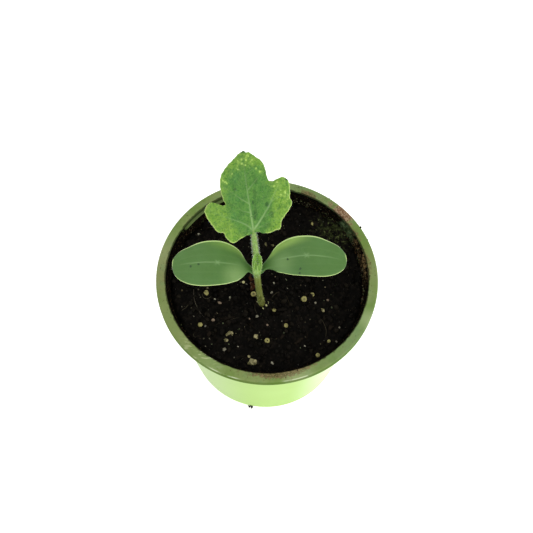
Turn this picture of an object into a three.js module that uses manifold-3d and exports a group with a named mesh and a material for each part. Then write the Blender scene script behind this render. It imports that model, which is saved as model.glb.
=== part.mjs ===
// A potted watermelon seedling: a round plastic pot, its plug of potting mix, and a young plant with a short
// stem, two seed leaves, one lobed true leaf on its petiole, and a folded growing tip.
// Millimetres, +Z up. The origin is the centre of the circle that the pot stands on. +Y points to the side
// that the true leaf leans to, and +X to the right of someone who looks along +Y.
import * as THREE from "three";
import { mergeVertices } from "three/addons/utils/BufferGeometryUtils.js";
import Module from "manifold-3d";

// ---------------------------------------------------------------- driving dimensions

const CLEARANCE = 0.3; // between pieces that touch on the real object
const GOLDEN_ANGLE = 2.39996;

const POT = {
  height: 85,
  rimRadius: 55,
  mouthRadius: 50.3,
  lipDepth: 5, // how far the rim hangs down outside
  rimRound: 1.1,
  ledgeDepth: 2.2, // from the rim's top down to the stacking ledge
  ledgeRadius: 48.9, // inner edge of the ledge
  collarRadius: 51.2, // outside of the wall right under the rim
  chamfer: 0.5, // on the edges of the foot, the mouth and the ledge
  footRadius: 43,
  wall: 2,
  floorUnderside: 3,
  floorThickness: 2,
  footWidth: 2.6,
  sides: 72,
  slotCount: 8,
  slotWidth: 3.6,
  slotLength: 11,
  slotRadius: 31, // from the pot's axis to the middle of a slot
  notchCount: 4, // water runs out under the foot through these
  notchWidth: 3.6,
  notchHeight: 1.6,
};

const SOIL = {
  level: 77,
  rings: 13,
  sides: 56,
  cornerRadius: 2.5, // where the plug's side meets its bottom
  moundHeight: 0.5,
  moundRadius: 16,
  bankHeight: 3.2, // mix that clings to the wall behind, on the right
  bankBearing: 38, // degrees from +X towards +Y
  bankSteepness: 7,
  waves: 5, // how many waves add up to the lumpy surface
  waveHeight: 0.53,
  waveLength: 30,
  waveShrink: 0.55, // each wave is shorter than the last one
  wavePhase: 1.7,
};

const STEM = {
  soilPoint: [-2.2, -12.8],
  nodePoint: [-4.3, -11.0, 113],
  rootDepth: 30,
  // The rod's middle line, from the root's end to the node: how far it lies from the straight line through
  // the soil point and the node, where (0 is the soil, 1 the node, -1 the root's end), and its radius.
  course: [
    { at: -1, shift: [0.5, -0.6], radius: 0.5 },
    { at: -0.5, shift: [0.3, -0.4], radius: 1.3 },
    { at: 0, shift: [0, 0], radius: 1.75 },
    { at: 0.36, shift: [0.1, -0.1], radius: 1.45 },
    { at: 0.8, shift: [0.1, 0], radius: 1.4 },
    { at: 1, shift: [0, 0], radius: 2.1 },
  ],
  sides: 12,
  steps: 22,
};

// Each half of a seed leaf's blade is half an oval: its widest half width, where that lies (skew 1 is the
// middle, more is nearer the tip), and how square its ends are (2 is an ellipse).
const SEED_LEAVES = [
  {
    name: "cotyledon_left", side: -1, bladeStart: 4.2, tip: 39, heading: 3.1, bend: 1.7,
    back: { width: 10, skew: 0.8, power: 1.7 }, front: { width: 12.9, skew: 1.3, power: 2.1 },
  },
  {
    name: "cotyledon_right", side: 1, bladeStart: 4.5, tip: 40.7, heading: 9.8, bend: 2.5,
    back: { width: 10.2, skew: 0.8, power: 1.9 }, front: { width: 11.3, skew: 1.6, power: 2 },
  },
];
const SEED_LEAF = {
  stalkHalfWidth: 1.2,
  stalkEnd: 8, // where the stalk has run out into the blade
  stalkThickness: 2,
  stalkFade: 4, // how fast the thickness falls from the stalk's to the blade's
  bladeThickness: 1.4,
  foot: [0.3, -1.4], // where the leaf's line starts: behind the node's middle, and under its top
  archLength: 38, // over this length the slope goes from baseSlope to tipSlope
  baseSlope: 0.45,
  tipSlope: -0.15,
  roll: 0.05,
  dish: 0.004,
  stations: 20,
  across: 5,
};

const TRUE_LEAF = {
  junction: [-6.5, 1.7, 128], // where the petiole meets the blade
  heading: 8.85, // degrees from +Y towards -X
  riseAtBase: 0.51, // slope of the blade where it leaves the petiole
  arch: 0.0053,
  droop: 0.005, // how fast the sides fall away from the midrib
  hub: 6, // centre of the blade's rings, along the midrib from the junction
  ripple: 0.55,
  ripples: 9,
  rippleTurn: 0.8,
  thickness: 0.8,
  rings: 5,
  edgePoints: 96,
  petioleRadius: 1.15,
};
// The blade's edge, [along the midrib, across it], from the junction round the right side and the tip.
const LEAF_EDGE = [
  [-0.4, 2.5], [-1, 7], [-0.2, 10.5], [1.1, 12.4], [3.2, 12.9], [5.4, 14.8], [9.3, 18.2], [11.4, 18.8],
  [13.4, 18.1], [16.2, 18.6], [19.8, 18.6], [21.7, 16.4], [21.3, 13.3], [20.2, 10.3], [22, 9.1], [26.4, 8.7],
  [29.6, 7.3], [31.9, 4.3], [34.2, 2], [35.4, 0], [33.4, -3.3], [30.1, -7.2], [26.1, -10.6], [22.1, -12.1],
  [18.4, -12.2], [15.4, -11.3], [13, -11], [12.2, -12.8], [13.8, -15.8], [14.2, -17.7], [12.6, -19.9],
  [10.4, -20.6], [6.4, -18.8], [2.4, -16], [1, -13.6], [-1.5, -12.1], [-3, -9.8], [-2.4, -7], [-1.2, -3.4],
];

const BUD = {
  leaves: [
    { length: 13.5, halfWidth: 2.3, thickness: 0.9, bearing: -96, lean: 57, curl: 0.5 },
    { length: 8, halfWidth: 1.4, thickness: 0.8, bearing: -60, lean: 72, curl: 0.5 },
  ],
  coreRadius: 1.05,
  coreLength: 3.4,
};

const GRAINS = {
  seed: 20260,
  count: 26,
  smallest: 0.7,
  largest: 1.5,
  sunk: 0.2, // how far a grain's centre lies under the surface, as a share of its radius
  flattening: [1, 0.8, 0.72],
  apart: 1.5,
  stemDistance: 4,
  wallDistance: 4,
  // The biggest lumps, [x, y, radius].
  lumps: [
    [-18.6, -27.6, 2.1], [-7.4, -41.5, 2.2], [-29.8, -6.2, 1.4], [18.9, -10.2, 1.4], [22.7, -7.6, 1.2],
    [23.1, 29.2, 1.2], [-19.8, -30.6, 1.3], [-5.6, -28, 1.3], [-0.3, -30.6, 1.3], [-6.4, -7.6, 1.3],
    [26, -37.6, 1.2], [32, -31, 1.1], [-32.4, -22.8, 1.2],
  ],
};

const COLORS = {
  pot: 0xa9d873, soil: 0x1d1712, stem: 0x7d9a4b, seedLeaf: 0x5c8f4c, trueLeaf: 0x6fa845, bud: 0x84b352,
};

// ---------------------------------------------------------------- solids

const wasm = await Module();
wasm.setup();

/** A closed three.js geometry as a manifold-3d solid. */
function solidOf(geometry) {
  const bare = geometry.index ? geometry.toNonIndexed() : geometry.clone();
  for (const name of Object.keys(bare.attributes)) {
    if (name !== "position") bare.deleteAttribute(name);
  }
  const merged = mergeVertices(bare, 1e-4);
  return new wasm.Manifold(
    new wasm.Mesh({
      numProp: 3,
      vertProperties: merged.attributes.position.array,
      triVerts: new Uint32Array(merged.index.array),
    }),
  );
}

/** A manifold-3d solid back as a three.js geometry. */
function geometryOf(solid) {
  const mesh = solid.getMesh();
  const geometry = new THREE.BufferGeometry();
  geometry.setAttribute("position", new THREE.BufferAttribute(new Float32Array(mesh.vertProperties), 3));
  geometry.setIndex(new THREE.BufferAttribute(new Uint32Array(mesh.triVerts), 1));
  geometry.computeVertexNormals();
  return geometry;
}

/** A closed geometry from rings of equally many points: sides between them and a cap at each end. */
function skin(rings) {
  const count = rings[0].length;
  const vertices = rings.flat();
  const faces = [];
  for (let r = 0; r + 1 < rings.length; r++) {
    for (let i = 0; i < count; i++) {
      const j = (i + 1) % count;
      const a = r * count;
      const b = a + count;
      faces.push([a + i, a + j, b + j], [a + i, b + j, b + i]);
    }
  }
  for (const [ring, flip] of [[0, true], [rings.length - 1, false]]) {
    const centre = new THREE.Vector3();
    rings[ring].forEach((p) => centre.addScaledVector(p, 1 / count));
    vertices.push(centre);
    for (let i = 0; i < count; i++) {
      const a = ring * count + i;
      const b = ring * count + ((i + 1) % count);
      faces.push(flip ? [vertices.length - 1, b, a] : [vertices.length - 1, a, b]);
    }
  }
  const geometry = new THREE.BufferGeometry().setFromPoints(vertices);
  geometry.setIndex(faces.flat());
  return geometry;
}

/** A round rod along a smooth curve, with its own radius at each given point. */
function rod(points, radii, sides, steps) {
  const curve = new THREE.CatmullRomCurve3(points.map((p) => new THREE.Vector3(...p)));
  const along = new THREE.CatmullRomCurve3(radii.map((r, i) => new THREE.Vector3(r, i, 0)));
  const frames = curve.computeFrenetFrames(steps, false);
  const rings = [];
  for (let s = 0; s <= steps; s++) {
    const centre = curve.getPointAt(s / steps);
    const radius = along.getPoint(s / steps).x;
    const ring = [];
    for (let i = 0; i < sides; i++) {
      const turn = (i / sides) * Math.PI * 2;
      ring.push(
        centre
          .clone()
          .addScaledVector(frames.normals[s], Math.cos(turn) * radius)
          .addScaledVector(frames.binormals[s], Math.sin(turn) * radius),
      );
    }
    rings.push(ring);
  }
  return skin(rings);
}

/** The same draws each time: numbers from 0 to 1. */
function draws(seed) {
  let state = seed;
  return () => {
    state = (state * 1664525 + 1013904223) % 4294967296;
    return state / 4294967296;
  };
}

function named(name, geometry, color, roughness) {
  const mesh = new THREE.Mesh(geometry, new THREE.MeshStandardMaterial({ color, roughness, metalness: 0 }));
  mesh.name = name;
  return mesh;
}

const radians = THREE.MathUtils.degToRad;

// ---------------------------------------------------------------- pot

/** Radius of the pot's inner wall at a height, below the stacking ledge. */
function innerRadius(z) {
  const bottom = POT.footRadius - POT.wall;
  return bottom + ((POT.ledgeRadius - bottom) * z) / (POT.height - POT.ledgeDepth);
}

/** A box that lies radially at a bearing, for a slot or a notch. */
function radialBox(length, width, height, radius, z, turn) {
  const box = new THREE.BoxGeometry(length, width, height);
  box.translate(radius, 0, z);
  box.rotateZ(turn);
  return solidOf(box);
}

function potMesh() {
  const { height, rimRadius, mouthRadius, rimRound, chamfer, wall } = POT;
  const { lipDepth, ledgeDepth, ledgeRadius } = POT;
  const floorTop = POT.floorUnderside + POT.floorThickness;
  const footInner = POT.footRadius - POT.footWidth;
  const rounding = [0, 30, 60, 90].map((turn) => [
    rimRadius - rimRound * (1 - Math.cos(radians(turn))),
    height - rimRound * (1 - Math.sin(radians(turn))),
  ]);
  const profile = [
    [0, POT.floorUnderside],
    [footInner - chamfer, POT.floorUnderside],
    [footInner, 0],
    [POT.footRadius - chamfer, 0],
    [POT.footRadius, chamfer],
    [POT.collarRadius, height - lipDepth],
    [rimRadius - chamfer, height - lipDepth],
    [rimRadius, height - lipDepth + chamfer],
    ...rounding,
    [mouthRadius + chamfer, height],
    [mouthRadius, height - chamfer],
    [mouthRadius, height - ledgeDepth],
    [ledgeRadius + chamfer, height - ledgeDepth],
    [ledgeRadius, height - ledgeDepth - chamfer],
    [innerRadius(floorTop + wall), floorTop + wall],
    [innerRadius(floorTop) - wall, floorTop],
    [0, floorTop],
  ];
  const body = new THREE.LatheGeometry(profile.map(([r, z]) => new THREE.Vector2(r, z)), POT.sides);
  body.rotateX(Math.PI / 2);
  let solid = solidOf(body);
  for (let i = 0; i < POT.slotCount; i++) {
    const turn = (i / POT.slotCount) * Math.PI * 2;
    solid = solid.subtract(radialBox(POT.slotLength, POT.slotWidth, 4 * wall, POT.slotRadius, floorTop, turn));
  }
  for (let i = 0; i < POT.notchCount; i++) {
    const turn = ((i + 0.5) / POT.notchCount) * Math.PI * 2;
    solid = solid.subtract(
      radialBox(3 * POT.footWidth, POT.notchWidth, 2 * POT.notchHeight, POT.footRadius, 0, turn),
    );
  }
  return named("pot", geometryOf(solid), COLORS.pot, 0.45);
}

// ---------------------------------------------------------------- soil

/** Height of the mix at a place: crossing waves make its lumps, and it banks up at one side of the wall. */
function soilTop(x, y) {
  let z = SOIL.level + SOIL.moundHeight * Math.cos(Math.hypot(x, y) / SOIL.moundRadius);
  for (let i = 1; i <= SOIL.waves; i++) {
    const bearing = i * GOLDEN_ANGLE;
    const waveNumber = (Math.PI * 2 * (1 + SOIL.waveShrink * i)) / SOIL.waveLength;
    const distance = x * Math.cos(bearing) + y * Math.sin(bearing);
    z += (SOIL.waveHeight / i ** 0.3) * Math.sin(distance * waveNumber + SOIL.wavePhase * i * i);
  }
  const bearing = radians(SOIL.bankBearing);
  const towards = Math.max(0, (x * Math.cos(bearing) + y * Math.sin(bearing)) / innerRadius(SOIL.level));
  return z + SOIL.bankHeight * towards ** SOIL.bankSteepness;
}

function soilMesh() {
  const floorTop = POT.floorUnderside + POT.floorThickness + CLEARANCE;
  const ring = (radius, height) =>
    Array.from({ length: SOIL.sides }, (_, i) => {
      const turn = (i / SOIL.sides) * Math.PI * 2;
      const x = radius * Math.cos(turn);
      const y = radius * Math.sin(turn);
      return new THREE.Vector3(x, y, height === undefined ? soilTop(x, y) : height);
    });
  // The pot's flat sides cut inside its circle, so the plug is a little smaller than the clearance asks.
  const flats = 1 - Math.cos(Math.PI / POT.sides);
  const inside = (z) => innerRadius(z) * (1 - flats) - CLEARANCE;
  const corner = floorTop + SOIL.cornerRadius;
  const rings = [ring(inside(floorTop) - SOIL.cornerRadius, floorTop), ring(inside(corner), corner)];
  for (let r = 0; r < SOIL.rings; r++) {
    rings.push(ring(inside(SOIL.level) * (1 - r / (SOIL.rings + 0.4))));
  }
  let solid = solidOf(skin(rings));
  const grains = grainPlaces().map(({ x, y, radius, turn }) => {
    const grain = new THREE.IcosahedronGeometry(radius, 0);
    grain.scale(...GRAINS.flattening);
    grain.rotateZ(turn);
    grain.translate(x, y, soilTop(x, y) - GRAINS.sunk * radius);
    return solidOf(grain);
  });
  solid = wasm.Manifold.union([solid, ...grains]);
  solid = solid.subtract(solidOf(stemRod(CLEARANCE)));
  return named("soil", geometryOf(solid), COLORS.soil, 0.95);
}

/** Where the grains of perlite and grit lie: the big lumps, and a seeded scatter clear of the stem. */
function grainPlaces() {
  const draw = draws(GRAINS.seed);
  const places = GRAINS.lumps.map(([x, y, radius]) => ({ x, y, radius, turn: draw() * Math.PI }));
  const reach = innerRadius(SOIL.level) - GRAINS.wallDistance;
  while (places.length < GRAINS.lumps.length + GRAINS.count) {
    const turn = draw() * Math.PI * 2;
    const distance = reach * Math.sqrt(draw());
    const x = distance * Math.cos(turn);
    const y = distance * Math.sin(turn);
    const radius = GRAINS.smallest + (GRAINS.largest - GRAINS.smallest) * draw() ** 3;
    const nearStem = Math.hypot(x - STEM.soilPoint[0], y - STEM.soilPoint[1]) < GRAINS.stemDistance;
    const crowded = places.some((p) => Math.hypot(p.x - x, p.y - y) < p.radius + radius + GRAINS.apart);
    if (!nearStem && !crowded) places.push({ x, y, radius, turn });
  }
  return places;
}

// ---------------------------------------------------------------- stem and root

/** The root and stem as one rod. margin makes it fatter and deeper, for the hole that it stands in. */
function stemRod(margin) {
  const [sx, sy] = STEM.soilPoint;
  const [nx, ny, nz] = STEM.nodePoint;
  const points = STEM.course.map(({ at, shift }) => {
    const share = Math.max(at, 0);
    const rise = at < 0 ? at * STEM.rootDepth - margin : at * (nz - SOIL.level);
    return [sx + share * (nx - sx) + shift[0], sy + share * (ny - sy) + shift[1], SOIL.level + rise];
  });
  return rod(points, STEM.course.map(({ radius }) => radius + margin), STEM.sides, STEM.steps);
}

/** The stem's radius at its node. */
function nodeRadius() {
  return STEM.course[STEM.course.length - 1].radius;
}

/** A block whose top or bottom face lies at a height, to end what grows at the node in a flat face. */
function nodeBlock(z, side) {
  const [nx, ny] = STEM.nodePoint;
  const size = 10;
  const block = new THREE.BoxGeometry(size, size, size);
  block.translate(nx, ny, z + (side * size) / 2);
  return solidOf(block);
}

function stemMesh() {
  const solid = solidOf(stemRod(0)).subtract(nodeBlock(STEM.nodePoint[2], 1));
  return named("stem", geometryOf(solid), COLORS.stem, 0.6);
}

// ---------------------------------------------------------------- seed leaves

/** Half width of one side of an oval blade at a share of its length. */
function ovalHalf(share, { width, skew, power }) {
  const t = Math.abs(2 * THREE.MathUtils.clamp(share, 0, 1) ** skew - 1);
  return width * Math.max(0, 1 - t ** power) ** (1 / power);
}

/** A point of a seed leaf's top face, from its place along and across the leaf, moved down by depth. */
function seedLeafPoint(leaf, along, across, depth) {
  const { archLength, baseSlope, tipSlope, roll, dish, foot } = SEED_LEAF;
  const [nx, ny, nz] = STEM.nodePoint;
  const turn = radians(leaf.heading);
  const rise = baseSlope * along + ((tipSlope - baseSlope) * along * along) / (2 * archLength);
  const bowed = across + (4 * leaf.bend * along * (archLength - along)) / archLength ** 2;
  return new THREE.Vector3(
    nx + leaf.side * (along * Math.cos(turn) - bowed * Math.sin(turn)),
    ny + foot[0] + along * Math.sin(turn) + bowed * Math.cos(turn),
    nz + foot[1] + rise + roll * across + dish * across * across - depth,
  );
}

function seedLeafMesh(leaf) {
  const { stalkHalfWidth, stalkEnd, stalkThickness, stalkFade, bladeThickness, stations, across } = SEED_LEAF;
  const length = leaf.tip - 0.05 - nodeRadius() - CLEARANCE;
  const start = nodeRadius() + CLEARANCE;
  const rings = [];
  for (let s = 0; s <= stations; s++) {
    const along = start + (length * (1 - Math.cos(Math.PI * (s / stations) ** 1.1))) / 2;
    const share = (along - leaf.bladeStart) / (leaf.tip - leaf.bladeStart);
    const stalk = along < stalkEnd ? stalkHalfWidth : 0.1;
    const back = Math.max(ovalHalf(share, leaf.back), stalk);
    const front = Math.max(ovalHalf(share, leaf.front), stalk);
    const thick = bladeThickness + (stalkThickness - bladeThickness) * Math.exp((start - along) / stalkFade);
    const top = [];
    const bottom = [];
    for (let i = 0; i <= 2 * across; i++) {
      const c = -Math.cos((i / (2 * across)) * Math.PI);
      const v = c < 0 ? c * front : c * back;
      const half = (thick / 2) * Math.sqrt(Math.max(0, 1 - c ** 4));
      top.push(seedLeafPoint(leaf, along, v, thick / 2 - half));
      if (i > 0 && i < 2 * across) bottom.unshift(seedLeafPoint(leaf, along, v, thick / 2 + half));
    }
    const loop = [...top, ...bottom];
    rings.push(leaf.side > 0 ? loop.reverse() : loop);
  }
  return named(leaf.name, geometryOf(solidOf(skin(rings))), COLORS.seedLeaf, 0.5);
}

// ---------------------------------------------------------------- true leaf

/** A point of the blade, from its place along and across the midrib. edge is 0 at the hub, 1 at the edge. */
function bladePoint(along, across, edge, lift) {
  const { junction, riseAtBase, arch, droop, ripple, ripples, rippleTurn, hub } = TRUE_LEAF;
  const heading = radians(TRUE_LEAF.heading);
  const wave = Math.sin(ripples * Math.atan2(across, along - hub) + rippleTurn) * ripple * edge ** 3;
  return new THREE.Vector3(
    junction[0] - along * Math.sin(heading) + across * Math.cos(heading),
    junction[1] + along * Math.cos(heading) + across * Math.sin(heading),
    junction[2] + riseAtBase * along - arch * along * Math.abs(along) - droop * across * across + wave + lift,
  );
}

function trueLeafMesh() {
  const { thickness, hub, rings, edgePoints, junction, petioleRadius } = TRUE_LEAF;
  const points = LEAF_EDGE.map(([along, across]) => new THREE.Vector3(along, across, 0));
  const edge = new THREE.CatmullRomCurve3(points, true, "centripetal");
  const outline = edge.getSpacedPoints(edgePoints).slice(0, edgePoints);
  const ring = (share, lift) =>
    outline.map((p) => bladePoint(hub + (p.x - hub) * share, p.y * share, share, lift));
  const shares = Array.from({ length: rings }, (_, r) => (r + 0.35) / (rings - 0.65));
  const loops = [...shares.map((s) => ring(s, -thickness)), ...shares.reverse().map((s) => ring(s, 0))];
  const blade = solidOf(skin(loops));
  const [nx, ny, nz] = STEM.nodePoint;
  const course = [
    [nx - 0.05, ny + 0.9, nz - 0.8],
    [nx - 0.8, ny + 5.4, nz + 5.6],
    [junction[0] + 0.6, junction[1] - 3.4, junction[2] - 4.5],
    [junction[0] - 0.1, junction[1] + 0.7, junction[2] - 0.6],
  ];
  const petiole = rod(course, course.map(() => petioleRadius), 10, 18);
  const solid = blade.add(solidOf(petiole)).subtract(nodeBlock(nz + CLEARANCE, -1));
  return named("true_leaf", geometryOf(solid), COLORS.trueLeaf, 0.55);
}

// ---------------------------------------------------------------- growing tip

/** A small folded leaf: a pointed blade whose two halves curl up along its midrib. */
function youngLeaf(leaf, foot) {
  const bearing = radians(leaf.bearing);
  const lean = radians(leaf.lean);
  const outward = new THREE.Vector3(Math.cos(bearing), Math.sin(bearing), 0);
  const along = new THREE.Vector3(0, Math.cos(lean), Math.sin(lean));
  const across = new THREE.Vector3().crossVectors(along, outward).normalize();
  const face = new THREE.Vector3().crossVectors(across, along).normalize();
  const rings = [];
  const stations = 9;
  for (let s = 0; s <= stations; s++) {
    const t = s / stations;
    const half = 0.25 + (leaf.halfWidth - 0.25) * Math.sin(Math.PI * t ** 0.75) ** 0.8;
    const thick = leaf.thickness * (1 - 0.5 * t);
    const centre = foot.clone().addScaledVector(along, leaf.length * t);
    const place = (c, lift) =>
      centre
        .clone()
        .addScaledVector(across, c * half)
        .addScaledVector(face, leaf.curl * half * c * c + lift);
    const loop = [];
    for (let i = 0; i <= 6; i++) loop.push(place(-1 + i / 3, (thick / 2) * (i % 6 ? 1 : 0)));
    for (let i = 5; i >= 1; i--) loop.push(place(-1 + i / 3, -thick / 2));
    rings.push(loop);
  }
  const made = solidOf(skin(rings));
  return made.volume() < 0 ? solidOf(skin(rings.map((loop) => loop.reverse()))) : made;
}

function growingTipMesh() {
  const [nx, ny, nz] = STEM.nodePoint;
  const foot = new THREE.Vector3(nx + 0.2, ny - 1.45, nz - 0.3);
  const core = rod(
    [foot.toArray(), foot.clone().add(new THREE.Vector3(0, 0.3, BUD.coreLength)).toArray()],
    [BUD.coreRadius, 0.4],
    10,
    4,
  );
  const parts = [solidOf(core), ...BUD.leaves.map((leaf) => youngLeaf(leaf, foot))];
  const solid = wasm.Manifold.union(parts).subtract(nodeBlock(nz + CLEARANCE, -1));
  return named("growing_tip", geometryOf(solid), COLORS.bud, 0.6);
}

// ---------------------------------------------------------------- the part

const part = new THREE.Group();
part.name = "potted_watermelon_plant";
part.add(
  potMesh(),
  soilMesh(),
  stemMesh(),
  ...SEED_LEAVES.map(seedLeafMesh),
  trueLeafMesh(),
  growingTipMesh(),
);

export default part;
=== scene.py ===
"""A potted watermelon seedling, dressed around its fixed frame: a lime nursery pot with an olive rim, dark
potting mix with its grains and litter, and a young plant with two seed leaves, one lobed leaf, a folded
growing tip and its down. Lengths in this file are millimetres until a mesh is made, which is in metres."""

import math

import bmesh
import bpy
import numpy as np
from mathutils import Matrix, Quaternion, Vector
from bpy.props import FloatProperty, FloatVectorProperty, IntProperty, PointerProperty


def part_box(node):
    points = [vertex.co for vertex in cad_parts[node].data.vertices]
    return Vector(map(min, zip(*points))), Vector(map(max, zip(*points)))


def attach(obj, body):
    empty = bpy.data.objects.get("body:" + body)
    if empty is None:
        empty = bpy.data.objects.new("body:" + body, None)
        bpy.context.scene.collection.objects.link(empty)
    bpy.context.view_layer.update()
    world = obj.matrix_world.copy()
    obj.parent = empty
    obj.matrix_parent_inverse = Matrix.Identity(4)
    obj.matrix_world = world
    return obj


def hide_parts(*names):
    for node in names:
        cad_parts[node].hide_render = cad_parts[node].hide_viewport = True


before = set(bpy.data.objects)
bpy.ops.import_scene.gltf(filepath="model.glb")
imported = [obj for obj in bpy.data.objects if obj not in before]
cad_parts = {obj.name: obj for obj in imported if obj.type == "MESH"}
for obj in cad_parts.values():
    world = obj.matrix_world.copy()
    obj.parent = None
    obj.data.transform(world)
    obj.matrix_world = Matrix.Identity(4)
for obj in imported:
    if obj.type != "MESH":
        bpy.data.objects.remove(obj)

bl_info = {
    "name": "Potted watermelon seedling",
    "version": (1, 0, 0),
    "blender": (4, 5, 0),
    "location": "3D View > Sidebar > Seedling",
    "description": "Builds the looks of a potted watermelon seedling, piece by piece",
    "category": "Object",
}

MM = 0.001
TURN = 2 * math.pi


def box_top(node):
    """Highest corner of a CAD node's box."""
    return [float(c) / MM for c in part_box(node)[1]]


RIM_RADIUS, _, RIM_TOP = box_top("pot")
MOUTH_RADIUS = RIM_RADIUS - 4.7
LEDGE_RADIUS = RIM_RADIUS - 6.1  # inside, where the next pot of a stack rests
LEDGE_DROP = 2.2  # from the rim down to the ledge
LIP_DEPTH = 5.0
COLLAR_RADIUS = RIM_RADIUS - 3.8  # where the wall runs up under the lip
FOOT_RADIUS = 43.0
WALL = 2.0
FLOOR_LOW = 3.0
FLOOR_HIGH = 5.0
SOIL_LEVEL = RIM_TOP - 8.0
STEM_GAP = 2.4  # scattered crumbs and specks keep this far from the stem's middle

NODE = np.array([-4.3, -11.0, box_top("stem")[2]])  # where the seed leaves and the petiole leave the stem
SOIL_POINT = np.array([-2.2, -12.8, SOIL_LEVEL])  # where the stem leaves the mix
JUNCTION = np.array([-6.5, 1.7, 128.0])  # where the petiole meets the first leaf's blade


def colour(code):
    """A linear colour from a six-digit code of what the eye sees."""
    parts = [int(code[i : i + 2], 16) / 255 for i in (0, 2, 4)]
    return np.array([p / 12.92 if p <= 0.04045 else ((p + 0.055) / 1.055) ** 2.4 for p in parts])


# ---------------------------------------------------------------- what a user may change


def tone(name, description, code):
    return FloatVectorProperty(name=name, description=description, subtype="COLOR", size=3, min=0, max=1,
                               default=tuple(colour(code)))


def length(name, description, default, low, high):
    return FloatProperty(name=name, description=description, default=default * MM, min=low * MM,
                         max=high * MM, unit="LENGTH")


def number(name, description, default):
    return IntProperty(name=name, description=description, default=default, min=0)


class PotSettings(bpy.types.PropertyGroup):
    wall: tone("Wall", "Colour of the pot's tapered wall", "b6d387")
    rim: tone("Rim", "Colour of the rim and of the inside", "6a843e")
    dirt: FloatProperty(name="Dirt", description="How much dried mix stains the rim", default=1.0,
                        min=0, max=2, subtype="FACTOR")
    round_edge: length("Rim rounding", "Radius of the rim's outer edge", 1.1, 0.2, 2)


class MixSettings(bpy.types.PropertyGroup):
    peat: tone("Peat", "Colour of the moist mix", "15110d")
    crumbs: number("Crumbs", "How many loose crumbs lie on the mix", 1500)
    specks: number("Specks", "How many pale specks lie in the mix", 300)
    fibres: number("Fibres", "How many root and straw fibres show", 46)
    crumb_size: length("Crumb size", "Radius of the largest crumbs", 1.5, 0.3, 4)


class PlantSettings(bpy.types.PropertyGroup):
    blade: tone("Blade", "Colour of the first leaf near its main veins", "568b34")
    lobe: tone("Lobes", "Colour of the first leaf's lobes", "86b038")
    seed_blade: tone("Seed leaves", "Colour of the seed leaves", "527a36")
    stem: tone("Stem", "Colour of the stem between the mix and the node", "697332")
    petiole: tone("Petiole", "Colour of the petiole and the node", "84a751")
    blister: length("Blisters", "How far the leaf puffs up between its veins", 0.42, 0, 1)
    hair_length: length("Hair length", "Length of the longest hairs on the petiole", 1.3, 0.2, 4)
    hairs: number("Hairs", "How many hairs the petiole has", 1050)


class StageSettings(bpy.types.PropertyGroup):
    floor: tone("Floor", "Colour of the pale floor", "fbfbfa")
    sky: FloatProperty(name="Sky", description="Strength of the even light from all round", default=0.72,
                       min=0)
    key: FloatProperty(name="Key light", description="Power of the large soft light above, in watts",
                       default=6.0, min=0)
    lens: FloatProperty(name="Lens", description="Focal length of the camera", default=54.74, min=10,
                        unit="CAMERA")


# ---------------------------------------------------------------- numbers over an area

TABLE = 64  # random numbers repeat after this many cells


def lattice(seed):
    return np.random.default_rng(seed).random((TABLE, TABLE))


def waves(x, y, cell, seed):
    """Smooth random heights from 0 to 1, with hills about one cell apart."""
    table = lattice(seed)
    gx, gy = x / cell + 500.3, y / cell + 500.7
    ix, iy = np.floor(gx).astype(int), np.floor(gy).astype(int)
    fx, fy = gx - ix, gy - iy
    fx, fy = fx * fx * (3 - 2 * fx), fy * fy * (3 - 2 * fy)
    low, high = (table[ix % TABLE, row % TABLE] * (1 - fx) + table[(ix + 1) % TABLE, row % TABLE] * fx
                 for row in (iy, iy + 1))
    return low * (1 - fy) + high * fy


def cells(x, y, cell, seed):
    """Distances to the nearest and second nearest of scattered points, in cells, and the nearest's draw."""
    px, py, draw = lattice(seed), lattice(seed + 1), lattice(seed + 2)
    gx, gy = x / cell + 300.0, y / cell + 300.0
    ix, iy = np.floor(gx).astype(int), np.floor(gy).astype(int)
    first, second, owner = np.full(x.shape, 9.0), np.full(x.shape, 9.0), np.zeros(x.shape)
    for i in (-1, 0, 1):
        for j in (-1, 0, 1):
            a, b = (ix + i) % TABLE, (iy + j) % TABLE
            away = np.hypot(ix + i + px[a, b] - gx, iy + j + py[a, b] - gy)
            closer = away < first
            second = np.where(closer, first, np.minimum(second, away))
            owner = np.where(closer, draw[a, b], owner)
            first = np.where(closer, away, first)
    return first, second, owner


def soft_step(value, low, high):
    t = np.clip((value - low) / (high - low), 0, 1)
    return t * t * (3 - 2 * t)


def bell(value, width):
    return np.exp(-((value / width) ** 2))


def arc(share):
    """Half heights of a round edge: 1 at 0, falling to 0 at 1."""
    return np.sqrt(np.maximum(0, 1 - share))


def unit(rows):
    return rows / np.linalg.norm(rows, axis=-1, keepdims=True)


def run_of(line):
    """How far along a line each of its points lies."""
    return np.concatenate([[0], np.cumsum(np.linalg.norm(np.diff(line[:, :3], axis=0), axis=1))])


def spline(points, count):
    """Evenly spaced places on a smooth curve through the points; each row may also carry a radius."""
    rows = np.array(points, float)
    padded = np.vstack([2 * rows[0] - rows[1], rows, 2 * rows[-1] - rows[-2]])
    at = np.linspace(0, len(rows) - 1 - 1e-9, 40 * len(rows))
    k, t = at.astype(int), (at % 1)[:, None]
    a, b, c, d = (padded[k + i] for i in range(4))
    fine = 0.5 * (2 * b + (c - a) * t + (2 * a - 5 * b + 4 * c - d) * t**2 + (3 * b - a - 3 * c + d) * t**3)
    run = run_of(fine)
    even = np.linspace(0, run[-1], count)
    return np.stack([np.interp(even, run, column) for column in fine.T], 1)


# ---------------------------------------------------------------- meshes


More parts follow.
